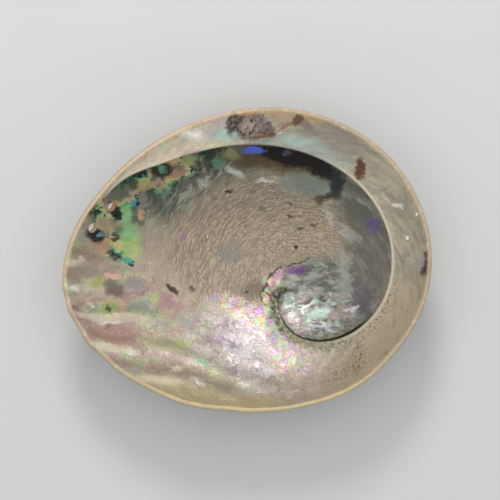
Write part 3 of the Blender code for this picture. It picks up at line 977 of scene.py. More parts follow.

# %% [markdown]
# ## Silver in the coil
#
# The pit of the coil is lined with smooth silver nacre. Clouds of mint and rose drift through it, white
# clouds in it are painted highlights, and painted shade makes it darkest where it dives under its own lip.

# %% The silver lining
pit_low = spot(stirred, 33, -30, 44, 26, 8, 0.5)
silver_clouds = ramp(grain(drift, 7.0, 4.0, 0.62), 0.40, 0.62)
silver = blend(silver_clouds, (0.115, 0.12, 0.095), (0.34, 0.345, 0.295))
rose_clouds = ramp(grain(drift, 5.0, 3.0, layer=170.0), 0.50, 0.60)
silver = blend(rose_clouds * (pit_low * 0.7 + 0.1), silver, (0.50, 0.36, 0.37))
mint_clouds = ramp(grain(drift, 5.0, 3.0, layer=100.0), 0.50, 0.60)
silver = blend(mint_clouds * (pit_low * 0.6 + 0.1), silver, (0.42, 0.60, 0.49))
# painted highlights: white clouds low in the pit
white_highlight_clouds = ramp(grain(drift, 4.5, 3.0, 0.6, layer=50.0), 0.50, 0.66)
silver = blend(white_highlight_clouds * pit_low, silver, (0.86, 0.89, 0.83))
hollow = blend(spot(stirred, 36.5, -21.5, 48, 42, 0, 0.2) * 0.92, hollow, silver)
hollow = blend(spot(stirred, 58, -21, 16, 16, 20, 0.5) * 0.8, hollow, (0.12, 0.095, 0.125))

# %% [markdown]
# Then come the single marks, from the largest to the smallest: the patch of white fire below, partly a
# painted highlight, the bright green ones at the left, painted shade over brown stains under the shelf,
# painted shade below the holes, and last painted highlights where a wrinkle of the nacre would throw the
# light back.

# %% Marks of the hollow
BROAD_MARKS = [
    ("pale pink left of the scar", -42.5, 1, 22.5, 41, 15, 0.5, 0.8, (0.46, 0.38, 0.28)),
    ("olive bank below the coil", 43, -51.5, 63, 24.5, 22, 0.5, 0.85, (0.37, 0.3, 0.2)),
    # the white fire and its pink edge are pale pink nacre with a painted highlight over them
    ("white fire", 5.5, -44.5, 46.5, 21.5, -22, 0.5, 0.9, (0.52, 0.44, 0.45)),
    ("pink edge of the fire", 19, -49.5, 21.5, 9.5, -20, 0.5, 0.5, (0.6, 0.42, 0.45)),
    ("grey right of the coil", 61, -1, 19.5, 29, 0, 0.5, 0.7, (0.17, 0.16, 0.13)),
    ("silver streak right", 49.5, -7, 6, 27, 8, 0.5, 0.7, (0.36, 0.35, 0.3)),
    ("green grey under the shelf", 27, 37.5, 24.5, 10.5, -8, 0.5, 0.8, (0.23, 0.26, 0.22)),
    # painted shade under the overhang of the shelf, tinted amber
    ("amber shade under the shelf", 10, 49, 44, 8, -4, 0.5, 0.7, (0.14, 0.11, 0.06)),
]
SMALL_MARKS = [
    ("green at the left", -58, 8.5, 9.5, 18.5, 8, 0.5, 0.8, (0.34, 0.60, 0.2)),
    ("straw at its foot", -57, 4, 6, 8, 20, 0.7, 0.6, (0.62, 0.55, 0.25)),
    ("mint at its head", -59.5, 14, 5, 5, 0, 0.7, 0.6, (0.22, 0.60, 0.38)),
    ("green above it", -60.5, 23, 7.5, 8.5, 0, 0.5, 0.85, (0.32, 0.62, 0.28)),
    ("teal at the top", -56, 28.5, 4, 4, 0, 0.3, 0.95, (0.1, 0.34, 0.42)),
    ("teal at the foot", -59, -0.5, 4, 3.5, 0, 0.3, 0.95, (0.06, 0.42, 0.34)),
    ("night blue dot", -54, 28, 2, 2, 0, 0.3, 0.95, (0.01, 0.03, 0.09)),
    ("dark dot at the foot", -57.5, -2, 2, 2, 0, 0.3, 0.9, (0.01, 0.03, 0.03)),
    ("peach beside the green", -53, 22.5, 3, 6, 0, 0.3, 0.9, (0.6, 0.36, 0.22)),
    ("peach above", -50, 36.5, 7.5, 5, 20, 0.3, 0.9, (0.52, 0.44, 0.22)),
    ("pink fleck above", -54, 33.5, 2.5, 2.5, 0, 0.3, 0.9, (0.6, 0.38, 0.33)),
    ("dark sea green", -63, 33.5, 10.5, 7, 45, 0.4, 0.85, (0.08, 0.14, 0.12)),
    ("black beside it", -56, 37, 6, 6, 0, 0.4, 0.85, (0.035, 0.045, 0.04)),
    ("black ring", -42.5, 44.5, 12.5, 7, 12, 0.3, 0.95, (0.02, 0.025, 0.02)),
    ("teal in the ring", -42, 45, 4, 3, 12, 0.4, 0.95, (0.15, 0.42, 0.24)),
    ("orange by the ring", -35.5, 43, 7, 4, 20, 0.4, 0.85, (0.5, 0.33, 0.2)),
    ("yellow green by the ring", -29.5, 49, 8, 4, 15, 0.4, 0.9, (0.38, 0.48, 0.2)),
    ("dark in the middle", -19, 48.5, 6, 7.5, 0, 0.4, 0.85, (0.045, 0.05, 0.04)),
    ("teal beside the dark", -14.5, 48.5, 4.5, 7, 0, 0.4, 0.8, (0.12, 0.32, 0.21)),
    ("straw under the shelf", -7.5, 52.5, 9, 5, 0, 0.4, 0.85, (0.4, 0.43, 0.2)),
    ("stone grey", -43, 29, 14.5, 16.5, 20, 0.5, 0.5, (0.115, 0.125, 0.105)),
    ("green at the scar's corner", -30.5, 27, 4.5, 4, 0, 0.4, 0.8, (0.2, 0.42, 0.24)),
    ("sand between the holes", -68, 17, 9, 8, -40, 0.4, 0.8, (0.4, 0.35, 0.22)),
    ("salmon", -71, 7.5, 9, 7, -20, 0.4, 0.85, (0.5, 0.29, 0.19)),
    ("brown dot", -65, 10.5, 2.5, 4.5, -10, 0.3, 0.9, (0.07, 0.045, 0.03)),
    ("brown left end", -76.5, 1.5, 15.5, 7, -8, 0.5, 0.75, (0.31, 0.225, 0.165)),
    ("grey left end", -78.5, -5.5, 12.5, 7, 0, 0.5, 0.7, (0.36, 0.3, 0.25)),
    ("yellow green left", -73.5, -10.5, 7, 5.5, 0, 0.35, 0.9, (0.44, 0.45, 0.17)),
    ("brown mauve", -65, -14, 10.5, 7.5, -20, 0.4, 0.9, (0.19, 0.125, 0.115)),
    ("salmon fleck", -67, -8, 6, 3, -8, 0.35, 0.95, (0.8, 0.46, 0.37)),
    ("mauve grey", -56, -11.5, 9.5, 8, -30, 0.5, 0.8, (0.3, 0.26, 0.28)),
    ("peach ring of the eye", -65.5, -22, 13.5, 7, -12, 0.35, 0.85, (0.58, 0.42, 0.27)),
    ("green eye", -68, -23.5, 9.5, 6, -12, 0.35, 0.9, (0.36, 0.46, 0.16)),
    ("dark heart of the eye", -68.5, -24, 3.5, 2.5, -10, 0.6, 0.9, (0.04, 0.07, 0.05)),
    ("grey mint", -53.5, -22.5, 10.5, 6, -10, 0.5, 0.8, (0.29, 0.35, 0.28)),
    ("pink patch", -40.5, -20.5, 9, 8, -30, 0.3, 0.9, (0.44, 0.26, 0.27)),
    ("yellow green by the patch", -45.5, -19, 3, 5.5, 0, 0.4, 0.85, (0.44, 0.5, 0.18)),
    ("dark brow of the patch", -37.5, -14.5, 8, 3, -38, 0.4, 0.95, (0.03, 0.022, 0.016)),
    ("mint band", -29.5, -32, 16.5, 4, -42, 0.5, 0.7, (0.33, 0.38, 0.31)),
    ("yellow green below", -32, -41.5, 11.5, 4.5, 0, 0.4, 0.8, (0.46, 0.54, 0.22)),
    ("mint below", -22, -50, 8.5, 3.5, -10, 0.4, 0.8, (0.26, 0.55, 0.34)),
    ("yellow green at the foot", -14.5, -57, 9, 3.5, -5, 0.4, 0.8, (0.48, 0.55, 0.24)),
    ("pink band", -39.5, -48, 24.5, 4, -12, 0.5, 0.7, (0.52, 0.36, 0.36)),
    ("orange trough", -65.5, -38.5, 15.5, 4.5, -28, 0.5, 0.7, (0.5, 0.32, 0.23)),
    ("grey trough", -13.5, -62, 17.5, 4.5, -4, 0.4, 0.8, (0.32, 0.26, 0.22)),
    # painted shade under the shelf's overhang over a real brown stain: its skirt, its body, its right
    # part, its tail and the tail's foot
    ("brown skirt of the shade and stain", 14, 48.5, 46, 9, -7, 0.6, 0.6, (0.085, 0.052, 0.022)),
    ("painted shade and stain under the shelf", 22, 51.5, 40, 8.5, -13, 0.3, 0.99, (0.012, 0.008, 0.005)),
    ("right part of the shade and stain", 38, 45, 16, 9, -35, 0.35, 0.98, (0.014, 0.011, 0.01)),
    ("blue under the shelf", 3.5, 54.5, 11, 3.5, -2, 0.25, 0.98, (0.10, 0.19, 0.78)),
    ("blue grey beside it", 20, 54, 4.5, 2, -5, 0.4, 0.9, (0.08, 0.09, 0.16)),
    ("tail of the shade and stain", 45, 38, 7, 16, -10, 0.4, 0.95, (0.025, 0.03, 0.035)),
    ("foot of the tail", 37.5, 30, 13, 4.5, 14, 0.4, 0.95, (0.02, 0.014, 0.006)),
    ("amber at the foot", 32.5, 28, 5, 2, 12, 0.4, 0.8, (0.3, 0.21, 0.06)),
    ("violet at the right", 63, 17.5, 6.5, 9, 35, 0.4, 0.85, (0.17, 0.13, 0.28)),
    ("violet by the coil", 24, -5, 11.5, 4.5, 10, 0.3, 0.9, (0.16, 0.065, 0.22)),
    ("magenta by the coil", 15, -9, 7, 4, 45, 0.35, 0.9, (0.72, 0.3, 0.62)),
    ("rose of the coil", 26, -31.5, 9, 6, -20, 0.5, 0.7, (0.42, 0.33, 0.3)),
    ("shade below the lower hole", -74.3, 12, 8.5, 6, -30, 0.35, 0.97, (0.010, 0.016, 0.018)),
    ("teal fleck in it", -73, 12.3, 3, 1.4, 20, 0.5, 0.9, (0.12, 0.34, 0.36)),
    ("shade below the upper hole", -64.8, 24, 5.5, 8.5, 25, 0.35, 0.97, (0.012, 0.014, 0.012)),
    ("rose right of the flash", 48, -27, 12.5, 6, 20, 0.5, 0.7, (0.38, 0.3, 0.28)),
]
# painted highlights: glints where wrinkles and crests of the nacre would throw the light back
PAINTED_HIGHLIGHTS = [
    ("white flash", -6, 44, 8.5, 2.5, -28, 0.9, 0.7, (0.75, 0.8, 0.7)),
    ("flash", -22, 38.5, 6, 2, -20, 0.9, 0.5, (0.62, 0.62, 0.52)),
    ("flash", 8.5, 40, 8, 1.5, -4, 0.5, 0.7, (0.75, 0.76, 0.66)),
    ("flash", 41, 22.5, 2.5, 8, 30, 0.9, 0.45, (0.6, 0.62, 0.55)),
    ("mint flash in the coil", 36.5, -26.5, 10.5, 4.5, 18, 0.6, 0.85, (0.62, 0.82, 0.72)),
    ("white flash in the coil", 30.5, -23, 8, 2, 30, 0.5, 0.85, (0.86, 0.88, 0.84)),
    ("flash at the coil's left", 22.5, -28, 3, 3.5, 0, 0.5, 0.7, (0.75, 0.78, 0.7)),
    ("flash right of the coil", 52, -25, 7, 2, 18, 0.5, 0.75, (0.78, 0.76, 0.76)),
    ("flash low in the coil", 36.5, -33.5, 10.5, 2, -6, 0.5, 0.7, (0.68, 0.66, 0.8)),
    ("flash at the left end", -81, 0.5, 4, 2, -35, 0.5, 0.7, (0.8, 0.68, 0.56)),
    ("crest flash", -85, -13.5, 4.5, 2, -15, 0.5, 0.8, (0.86, 0.8, 0.72)),
    ("crest flash", -75.5, -22, 4.5, 1.5, -40, 0.5, 0.7, (0.86, 0.76, 0.5)),
    ("crest flash", -67.5, -30.5, 11.5, 1.5, -4, 0.5, 0.7, (0.82, 0.74, 0.66)),
    ("crest flash", -56.5, -45, 6, 2.5, -25, 0.6, 0.7, (0.74, 0.78, 0.58)),
    ("crest flash", -41, -46.5, 5, 2, -30, 0.6, 0.7, (0.84, 0.76, 0.62)),
    ("crest flash", -33.5, -54, 5.5, 2.5, 10, 0.6, 0.7, (0.82, 0.84, 0.56)),
    ("crest flash", -24, -59.5, 6, 2, -20, 0.8, 0.8, (0.92, 0.92, 0.9)),
    ("crest flash", 1.5, -60.5, 11.5, 2.5, 10, 0.6, 0.6, (0.8, 0.84, 0.8)),
]
hollow = dab(hollow, stirred, BROAD_MARKS)
hollow = dab(hollow, ragged, SMALL_MARKS)
print("marks of the hollow:", len(BROAD_MARKS) + len(SMALL_MARKS) + len(PAINTED_HIGHLIGHTS))

# %% [markdown]
# Thin curls run through the white fire, like the loops of a fingerprint: pale ones, and between them lines
# of lilac. The pale ripples and pale curls are partly a painted highlight.

# %% Curls in the nacre
fire_and_glare_place = spot(stirred, 6, -45, 64, 34, -20, 0.5)
fire_ripples = ramp(grain(streaked, 7.0, 4.0, 0.6, 1.0, layer=125.0), 0.40, 0.60)
# pale ripples and pale curls: marbled nacre and partly a painted highlight
hollow = blend(fire_and_glare_place * fire_ripples * 0.8, hollow, (0.78, 0.74, 0.76))
plum_ripples = ramp(grain(streaked, 7.0, 4.0, 0.6, layer=200.0), 0.54, 0.62)
hollow = blend(fire_and_glare_place * plum_ripples * 0.8, hollow, (0.42, 0.26, 0.42))
pale_curls = lines(stirred_clouds, 8.0, 0.022, 3.0, 0.8)
hollow = blend(pale_curls * fire_and_glare_place * 0.8, hollow, (0.95, 0.92, 0.90))
lilac_curls = lines(ragged_clouds, 6.0, 0.02, 2.0, 1.0, layer=30.0)
hollow = blend(lilac_curls * fire_and_glare_place * 0.8, hollow, (0.34, 0.17, 0.32))

# %% [markdown]
# ## The muscle scar
#
# The animal's foot was held by one strong muscle in the middle of the bowl. Where it grew, the nacre is
# dull tan and combed into fine arcs round the coil, in some places more than in others. Specks of bright
# nacre, partly painted glints, and small black pits lie between them.

# %% The scar's tan and its arcs
arcs = arcs_round(0.9, 5.0, 0.0)
arcs_fine = arcs_round(0.42, 1.4, 4.0)
combed = ramp(grain(stirred_clouds, 9.0, layer=44.0), 0.40, 0.60) * 0.6 + 0.4
coil = spot(ragged, 41, -21, 56, 44, -14, 0.18)
scar = spot(ragged, 3.5, 9, 88, 67, 12, 0.17) * (1 - coil)
scar = scar * (1 - spot(stirred, 33, 38, 34, 15, -18, 0.5))

scar_colour = blend(ramp(arcs, 0.42, 0.58), (0.27, 0.21, 0.145), (0.41, 0.33, 0.235))
scar_colour = blend(ramp(arcs_fine, 0.47, 0.38) * combed * 0.85, scar_colour, (0.16, 0.12, 0.08))
scar_colour = blend(ramp(arcs_fine, 0.58, 0.66) * combed * 0.9, scar_colour, (0.80, 0.70, 0.56))
grey_clouds = ramp(grain(stirred_clouds, 11.0), 0.56, 0.70)
scar_colour = blend(grey_clouds * 0.45, scar_colour, (0.24, 0.215, 0.17))
# bright specks: pale nacre with painted glints
bright_specks_and_glints = ramp(grain(ragged_clouds, 1.6, 2.0, 0.7, layer=15.0), 0.68, 0.74)
scar_colour = blend(bright_specks_and_glints, scar_colour, (0.85, 0.80, 0.70))
dark_specks = ramp(grain(ragged_clouds, 2.4, 2.0, 0.7, layer=30.0), 0.70, 0.76)
scar_colour = blend(dark_specks * 0.9, scar_colour, (0.03, 0.025, 0.02))
SCAR_MARKS = [
    ("slate patch", -9, 3, 14.5, 9, 15, 0.6, 0.55, (0.2, 0.21, 0.2)),
    ("dark towards the coil", 2.5, -15.5, 14.5, 9, 20, 0.6, 0.6, (0.13, 0.11, 0.085)),
    ("pit", -9.5, 35, 3, 2, 0, 0.4, 0.9, (0.03, 0.02, 0.015)),
    ("pit", 25, 6, 2, 2, 0, 0.4, 0.95, (0.02, 0.01, 0.01)),
    ("pit", 21.5, 22, 4, 1.5, -15, 0.5, 0.85, (0.05, 0.035, 0.03)),
    ("pit", 27, 15.5, 3.5, 2, 10, 0.5, 0.85, (0.04, 0.03, 0.025)),
    ("pit", 33, 18, 3.5, 2, -20, 0.5, 0.85, (0.04, 0.04, 0.035)),
    ("pit", 21, 29.5, 4.5, 1.5, -20, 0.5, 0.85, (0.06, 0.05, 0.035)),
    ("pit", 7.5, 26, 5, 2, -10, 0.6, 0.7, (0.12, 0.12, 0.1)),
    ("pit", -28, -14, 2, 2.5, 20, 0.4, 0.95, (0.02, 0.015, 0.01)),
    ("pit", 0, -16, 2.5, 2, 0, 0.5, 0.9, (0.03, 0.025, 0.02)),
    ("plum fleck", -33.5, 11.5, 2, 5, -20, 0.5, 0.75, (0.34, 0.14, 0.34)),
]
scar_colour = dab(scar_colour, ragged, SCAR_MARKS)
hollow = blend(scar, hollow, scar_colour)

# %% [markdown]
# ## Fire round the coil
#
# Where the scar ends, the nacre is at its thinnest and flashes every colour in fine grains. A fast
# noise picks the hue from a wheel of pastel colours, inside a few bands round the coil. Dark cracks
# part the bands.

# %% Grains of fire
FIRE_BANDS = [
    ("along the foot of the scar", 3, -28, 40, 11, -24, 0.5),
    ("left of the coil", 13, -20, 9, 24, 10, 0.5),
    ("below the coil", 23, -43, 22, 11, -30, 0.5),
    ("by the foot", 20, -52, 24, 8, -20, 0.5),
]
CRACKS = [
    (25.5, -1.5, 12, 1.1, 18),
    (14.0, -6.5, 10, 1.1, 42),
    (8.5, -14.5, 9, 1.2, 62),
    (11.5, -17.0, 6, 1.1, -35),
    (8.0, -20.5, 6, 1.1, -60),
    (14.5, -21.5, 7, 1.0, -75),
]
hue_picker = grain(plan + stir_wide * 6.0, 4.0, 2.5, 0.6, 1.0)
fire = nacre.node(
    "ShaderNodeHueSaturation",
    None,
    {"Hue": hue_picker * 3.0, "Saturation": 1.0, "Value": 1.0, "Fac": 1.0, "Color": (0.86, 0.33, 0.28)},
)
fire = blend(ramp(grain(plan, 1.6, 3.0, 0.7), 0.46, 0.62) * 0.75, fire, (0.84, 0.76, 0.68))
for _, x, y, width, height, slant, soft in FIRE_BANDS:
    band = spot(stirred, x, y, width, height, slant, soft)
    hollow = blend(band * ramp(grain(ragged_clouds, 3.0, 3.0, 0.7), 0.36, 0.54), hollow, fire)
for x, y, length, width, slant in CRACKS:
    hollow = blend(spot(ragged, x, y, length, width, slant, 0.5) * 0.9, hollow, (0.02, 0.018, 0.015))

# %% [markdown]
# The coil's last turn tucks itself under its own lip. The line where it does so is painted nearly black as
# shade, the pit darkens towards the lip with painted shade, and a mossy band runs along it outside. The
# mesh knows how far each point lies from the lip on either side, so both follow it.

# %% The line under the lip of the coil
below_coil = spot(stirred, 27, -32, 62, 46, -10, 0.4)
moss = ramp(from_edge + (grain(plan, 3.0) - 0.5) * 6.0, 7.0, 2.5) * below_coil
moss_tufts = ramp(grain(plan, 1.8, 3.0, 0.7), 0.44, 0.60)
moss_colour = blend(moss_tufts, (0.020, 0.021, 0.015), (0.30, 0.29, 0.15))
hollow = blend(moss * 0.95, hollow, moss_colour)
# painted shade: the pit darkens as it nears the lip
hollow = blend(coiled * ramp(to_lip, 6.0, 1.0) * 0.6, hollow, (0.10, 0.12, 0.07))
# painted shade: the nearly black crevice under the lip
crevice_painted_shade = ramp(to_lip + grain(plan, 3.0) * 1.4, 1.9, 1.1)
hollow = blend(coiled * crevice_painted_shade * 0.97, hollow, (0.006, 0.006, 0.004))
hollow = dab(hollow, ragged, PAINTED_HIGHLIGHTS)

# %% [markdown]
# ## The shelf
#
# The shelf is the floor of the coil's last turn. Its nacre is thinner and looks olive, grey and
# cream, more tan to the lower right, with a brown knobbly lump at the top and a few rust stains. Fine
# growth lines run along it, and grit sticks to its inner edge.

# %% The shelf's own colours
shelf_arcs = arcs_round(1.8, 6.0, 9.0)
olive_clouds = ramp(grain(stirred_clouds, 13.0), 0.40, 0.60)
shelf_colour = blend(olive_clouds, (0.345, 0.305, 0.21), (0.25, 0.225, 0.165))
shelf_colour = blend(ramp(shelf_arcs, 0.48, 0.62) * 0.5, shelf_colour, (0.44, 0.40, 0.29))
mauve_clouds = ramp(grain(stirred_clouds, 6.0, layer=60.0), 0.52, 0.62)
shelf_colour = blend(mauve_clouds * 0.4, shelf_colour, (0.30, 0.235, 0.225))
SHELF_BROAD = [
    ("cream at the left", -47, 49.5, 63, 16.5, 33, 0.5, 0.9, (0.42, 0.37, 0.265)),
    ("straw sheen at the left", -40, 53.5, 34, 3.5, 30, 0.5, 0.6, (0.42, 0.44, 0.25)),
    ("lilac and mint above the bowl", -17, 63.5, 29, 9.5, 8, 0.5, 0.7, (0.4, 0.41, 0.36)),
    ("grey blue at the inner edge", 26, 54.5, 60.5, 11.5, -14, 0.5, 0.85, (0.25, 0.285, 0.245)),
    ("dusky top right", 45, 58.5, 34, 12.5, -38, 0.5, 0.6, (0.27, 0.215, 0.185)),
    ("tan lower right", 67, -31.5, 29, 48.5, -38, 0.5, 0.8, (0.4, 0.32, 0.215)),
    ("tan below", 38, -59, 58.5, 19.5, 12, 0.5, 0.8, (0.4, 0.32, 0.215)),
    ("orange along the top rim", 16, 71.5, 63, 4, -3, 0.5, 0.7, (0.52, 0.33, 0.16)),
]
SHELF_SMALL = [
    ("mint", -11, 61, 13.5, 6, 5, 0.7, 0.75, (0.34, 0.52, 0.42)),
    ("mint right of the lump", 25, 58.5, 16.5, 4.5, -5, 0.4, 0.75, (0.31, 0.4, 0.35)),
    ("lilac left of the lump", -12, 69, 12.5, 6, 0, 0.4, 0.8, (0.42, 0.34, 0.37)),
    # the pearl flash is a painted highlight on the shelf
    ("pearl flash", -26.5, 61.5, 11, 5, -12, 0.8, 0.7, (0.86, 0.86, 0.78)),
    ("rust left", -25, 67.5, 9, 3.5, 20, 0.35, 0.9, (0.24, 0.11, 0.04)),
    ("lump", 2, 65.5, 20.5, 13, -8, 0.15, 0.95, (0.115, 0.09, 0.085)),
    ("pale heart of the lump", 1.5, 63.5, 9.5, 7, -15, 0.4, 0.8, (0.32, 0.24, 0.2)),
    ("dark shoulder of the lump", -7, 67.5, 5, 12.5, -10, 0.3, 0.95, (0.03, 0.02, 0.018)),
    ("rusty foot of the lump", 8, 61, 12.5, 4, 22, 0.35, 0.9, (0.13, 0.055, 0.025)),
    ("orange brow of the lump", 0.5, 71.5, 12.5, 2.5, 2, 0.4, 0.85, (0.42, 0.2, 0.07)),
    ("cream fleck", 15.5, 63, 4, 3.5, 30, 0.4, 0.8, (0.55, 0.48, 0.36)),
    ("brown wedge", 24.5, 68, 6, 5, 30, 0.35, 0.9, (0.12, 0.055, 0.03)),
    ("wedge's band", 18, 65, 10.5, 2.5, 32, 0.4, 0.8, (0.24, 0.125, 0.07)),
    ("plum beside the wedge", 29.5, 65.5, 6, 4, -20, 0.4, 0.8, (0.24, 0.16, 0.16)),
    ("rust spot", 55, 44.5, 5, 10.5, -8, 0.3, 0.99, (0.09, 0.028, 0.007)),
    ("dark at the right rim", 87, -1, 4.5, 12.5, -4, 0.3, 0.95, (0.06, 0.03, 0.028)),
    ("lilac beside it", 84.5, -1, 4, 7, 0, 0.4, 0.85, (0.32, 0.26, 0.27)),
    ("white bead", 82.5, 22.5, 1.5, 1.5, 0, 0.4, 0.9, (0.8, 0.8, 0.74)),
    ("white bead", 78.5, 11, 1.5, 1.5, 0, 0.4, 0.9, (0.8, 0.8, 0.74)),
    ("white curl", 73.5, 27, 4, 2, 0, 0.6, 0.6, (0.7, 0.68, 0.6)),
]
shelf_colour = dab(shelf_colour, stirred, SHELF_BROAD)
shelf_rings = layers(grain(stirred_clouds, 9.0, 4.0, 0.6, layer=42.0), PASTELS)
shelf_colour = blend(spot(stirred, -24, 60, 76, 22, 20, 0.5) * 0.55, shelf_colour, shelf_rings)
shelf_colour = blend(ramp(shelf_arcs, 0.44, 0.34) * 0.35, shelf_colour, (0.16, 0.13, 0.095))
shelf_colour = dab(shelf_colour, ragged, SHELF_SMALL)
knobs = ramp(grain(plan, 2.0, 3.0, 0.6), 0.46, 0.56)
knobbly = spot(ragged, 2, 65.5, 19, 12, -8, 0.2)
shelf_colour = blend(knobbly * knobs * 0.6, shelf_colour, (0.30, 0.225, 0.18))
dark_gaps = ramp(grain(plan, 1.6, 3.0, 0.6, layer=9.0), 0.53, 0.60)
shelf_colour = blend(knobbly * dark_gaps * 0.85, shelf_colour, (0.02, 0.012, 0.01))
grit_place = ramp(from_edge, 8.0, 1.5) * (spot(stirred, 62, -38, 44, 60, -38, 0.5) * 0.9 + 0.12)
grit_place = grit_place + spot(ragged, 55, -47, 5, 18, -12, 0.5) + spot(ragged, 46, -56, 20, 5, 32, 0.5)
grit = ramp(grain(plan, 1.2, 3.0, 0.75), 0.52, 0.60) * ramp(grit_place, 0.0, 1.0)
shelf_colour = blend(grit, shelf_colour, (0.07, 0.055, 0.038))
# painted highlight: a thin cream catch light along the right part of the lip's edge
lip_highlight_line = ramp(from_edge, 1.1, 0.4) * ramp(along(plan, (1.0, 0.0, 0.0)), 30.0, 60.0)
shelf_colour = blend(lip_highlight_line * 0.75, shelf_colour, (0.52, 0.47, 0.34))
inside = blend(shelf_mask, hollow, shelf_colour)

# %% [markdown]
# ## The rim
#
# At the rim the nacre ends and the layer beneath shows its horn colour: golden at the foot, peach at
# the top left. A band a few millimetres wide, with an uneven inner edge, does that.

# %% The rim's band
rim_band = ramp(from_rim - grain(stirred_clouds, 12.0) * 2.4, 1.4, 0.0)
foot = spot(plan, 10, -80, 150, 50, 0, 0.5)
upper_left = spot(plan, -62, 52, 110, 60, 35, 0.4)
rim_colour = blend(foot, (0.46, 0.35, 0.22), (0.64, 0.47, 0.21))
rim_colour = blend(upper_left, rim_colour, (0.62, 0.42, 0.245))
rim_colour = blend(ramp(grain(plan, 2.2), 0.5, 0.66) * 0.6, rim_colour, (0.68, 0.56, 0.38))
inside = blend(rim_band * 0.75, inside, rim_colour)
inside = blend(spot(stirred, -22, -68, 120, 14, -9, 0.5) * 0.5, inside, (0.55, 0.44, 0.23))

# %% [markdown]
# ## Sheen and grain of the nacre
#
# Polished nacre is smooth and the scar is not. The bump gives wrinkles a fraction of a millimetre
# high: streaks across the nacre, combed lines on the scar, and fine grit on the shelf.

# %% Gloss and fine relief
wrinkles = grain(stirred_clouds, 4.2, 4.0, 0.62, 0.8) * 0.9 + grain(plan, 11.0, 2.0) * 0.9
comb = arcs * 0.6 + arcs_fine * 0.5
relief = wrinkles * (1 - scar) * (1 - shelf_mask * 0.55) + comb * scar
relief = relief + grain(plan, 0.9, 2.0, 0.6) * 0.1
bump_sockets = {"Strength": 0.8, "Distance": 1.0 * MM, "Height": relief}
bump = nacre.node("ShaderNodeBump", None, bump_sockets, "Normal")
gloss = 0.17 + grain(stirred_clouds, 6.0) * 0.10 + scar * 0.22 + shelf_mask * 0.08 + rim_band * 0.25
pearl = (1 - scar * 0.7) * (1 - shelf_mask * 0.5) * (1 - rim_band) * 0.45
nacre.coat(
    Base_Color=inside,
    Roughness=gloss,
    Metallic=pearl,
    Normal=bump,
    IOR=1.45,
)
shell.data.materials.append(nacre.material)

# %% [markdown]
# ## The crust
#
# Outside, an abalone wears a coat the colour of brick, crossed by growth lines and patched with
# cream and grey-green crust from other sea life. On the ribs and round the spire the coat has rubbed
# through to bare nacre.

# %% The outside
crust = Finish("crust")
back_place = here(crust)
stir_back = stir(back_place, 8.0, 4.0, 0.6)
back_stirred = back_place + stir_back * 8.0
growth_age = note(crust, "age")
rib = note(crust, "rib")
seam_note = note(crust, "seam")
collar = note(crust, "collar")
back_from_rim = note(crust, "from_rim")

line_places = crust.node("ShaderNodeCombineXYZ", None, {0: growth_age * 1.1, 1: rib * 0.4, 2: 0.0})
growth_lines = grain(line_places, 1.0, 4.0, 0.65)
band_places = crust.node("ShaderNodeCombineXYZ", None, {0: growth_age * 0.1, 1: 0.0, 2: 5.0})
bands = grain(band_places, 1.0, 2.0)
BRICK = (0.30, 0.105, 0.062)
DARK_BRICK = (0.14, 0.055, 0.040)
CREAM_CRUST = (0.48, 0.42, 0.33)
SEA_GREEN = (0.24, 0.27, 0.20)
outside = blend(ramp(growth_lines, 0.38, 0.62), DARK_BRICK, BRICK)
outside = blend(ramp(bands, 0.48, 0.60) * 0.65, outside, (0.36, 0.25, 0.17))
outside = blend(ramp(grain(back_stirred, 13.0), 0.50, 0.62) * 0.8, outside, CREAM_CRUST)
green_clouds = ramp(grain(back_stirred + (50.0, 0.0, 0.0), 10.0), 0.54, 0.64)
outside = blend(green_clouds * 0.7, outside, SEA_GREEN)
rubbed_ribs = ramp(rib, 0.55, 1.0) * ramp(grain(back_place, 4.0), 0.42, 0.6)
outside = blend(rubbed_ribs * 0.5, outside, (0.50, 0.40, 0.33))
worn = spot(back_place * (1.0, 1.0, 0.0) + stir_back * 12.0, 10, -2, 48, 36, 0, 0.4)
outside = blend(worn * 0.9, outside, (0.50, 0.46, 0.40))
seam_line = ramp(seam_note * seam_note, 0.0016, 0.0002) * (1 - worn)
outside = blend(seam_line * 0.6, outside, (0.10, 0.06, 0.05))
outside = blend(ramp(collar, 0.35, 0.8) * 0.6, outside, (0.44, 0.36, 0.29))
ragged_rim = back_from_rim + (grain(back_stirred, 9.0) - 0.5) * 9.0
outside = blend(ramp(ragged_rim, 5.0, 1.0) * 0.85, outside, (0.50, 0.40, 0.25))

crust_relief = growth_lines * 0.6 + grain(back_place, 1.8, 4.0, 0.65) * 0.7
crust_relief = crust_relief + grain(back_stirred, 13.0) * 0.8
bump_sockets = {"Strength": 0.9, "Distance": 1.1 * MM, "Height": crust_relief}
crust_bump = crust.node("ShaderNodeBump", None, bump_sockets, "Normal")
crust.coat(
    Base_Color=outside,
    Roughness=0.78 - worn * 0.35,
    Normal=crust_bump,
)
shell.data.materials.append(crust.material)

# %% [markdown]
# Which face gets which finish follows from the note that the mesh kept: 0 on the nacre and 1 on the
# back, changing on the round of the rim.

# %% Giving each face its finish
outside_note = np.empty(len(shell.data.vertices))
shell.data.attributes["outside"].data.foreach_get("value", outside_note)
slots = []
for face in shell.data.polygons:
    level = sum(outside_note[i] for i in face.vertices) / len(face.vertices)
    slots.append(1 if level > 0.5 else 0)
shell.data.polygons.foreach_set("material_index", slots)
shell.data.shade_smooth()
print("faces on the back:", sum(slots), "of", len(slots))

# %% [markdown]
# ## A table, soft light and the camera
#
# The shell lies on a plain pale table and the camera hangs straight over it. A long lens keeps the
# proportions true. A small window stands behind the top of the picture, low enough to flash from the
# wall of the bowl. A broad light overhead and a pale sky fill the rest.

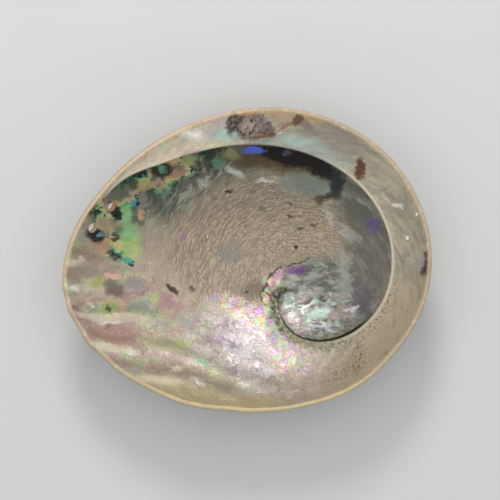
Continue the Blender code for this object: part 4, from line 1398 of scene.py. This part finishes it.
# %% The table
TABLE_SIZE = 3.0
bpy.ops.mesh.primitive_plane_add(size=TABLE_SIZE, location=(0.0, 0.0, 0.0))
table = bpy.context.object
table.name = "table"
table_finish = Finish("pale_table")
mottle = grain(here(table_finish), 60.0, 2.0)
table_finish.coat(
    Base_Color=blend(mottle, (0.55, 0.555, 0.545), (0.575, 0.58, 0.57)),
    Roughness=0.6,
)
table.data.materials.append(table_finish.material)


# %% The lights
SKY_COLOUR = (0.93, 0.96, 1.0, 1.0)
SKY_STRENGTH = 0.63


def soft_light(name, place, size, watts, tint):
    """A square light that faces the shell."""
    data = bpy.data.lights.new(name, "AREA")
    data.shape = "SQUARE"
    data.size = size
    data.energy = watts
    data.color = tint
    light = bpy.data.objects.new(name, data)
    light.location = place
    light.rotation_euler = (-Vector(place)).to_track_quat("-Z", "Y").to_euler()
    bpy.context.scene.collection.objects.link(light)
    return light


soft_light("window", (-0.07, 0.78, 0.80), 0.25, 5.0, (1.0, 0.98, 0.95))
soft_light("ceiling", (0.0, 0.1, 1.6), 1.8, 10.5, (1.0, 0.99, 0.97))
sky = bpy.data.worlds.new("pale_room")
sky.use_nodes = True
sky.node_tree.nodes["Background"].inputs["Color"].default_value = SKY_COLOUR
sky.node_tree.nodes["Background"].inputs["Strength"].default_value = SKY_STRENGTH
bpy.context.scene.world = sky

# %% The camera
VIEW_WIDTH = 243.0 * MM
CAMERA_AIM = Vector((1.46 * MM, 4.99 * MM, 46.0 * MM))
CAMERA_DISTANCE = 0.9
camera_data = bpy.data.cameras.new("over_the_bowl")
camera_data.sensor_width = 36.0
camera_data.lens = camera_data.sensor_width * CAMERA_DISTANCE / VIEW_WIDTH
camera = bpy.data.objects.new("over_the_bowl", camera_data)
camera.location = CAMERA_AIM + Vector((0.0, 0.0, CAMERA_DISTANCE))
camera.rotation_euler = (0.0, 0.0, 0.0)
bpy.context.scene.collection.objects.link(camera)
bpy.context.scene.camera = camera
bpy.context.scene.view_settings.view_transform = "Standard"
print("lens:", round(camera_data.lens, 1), "mm")
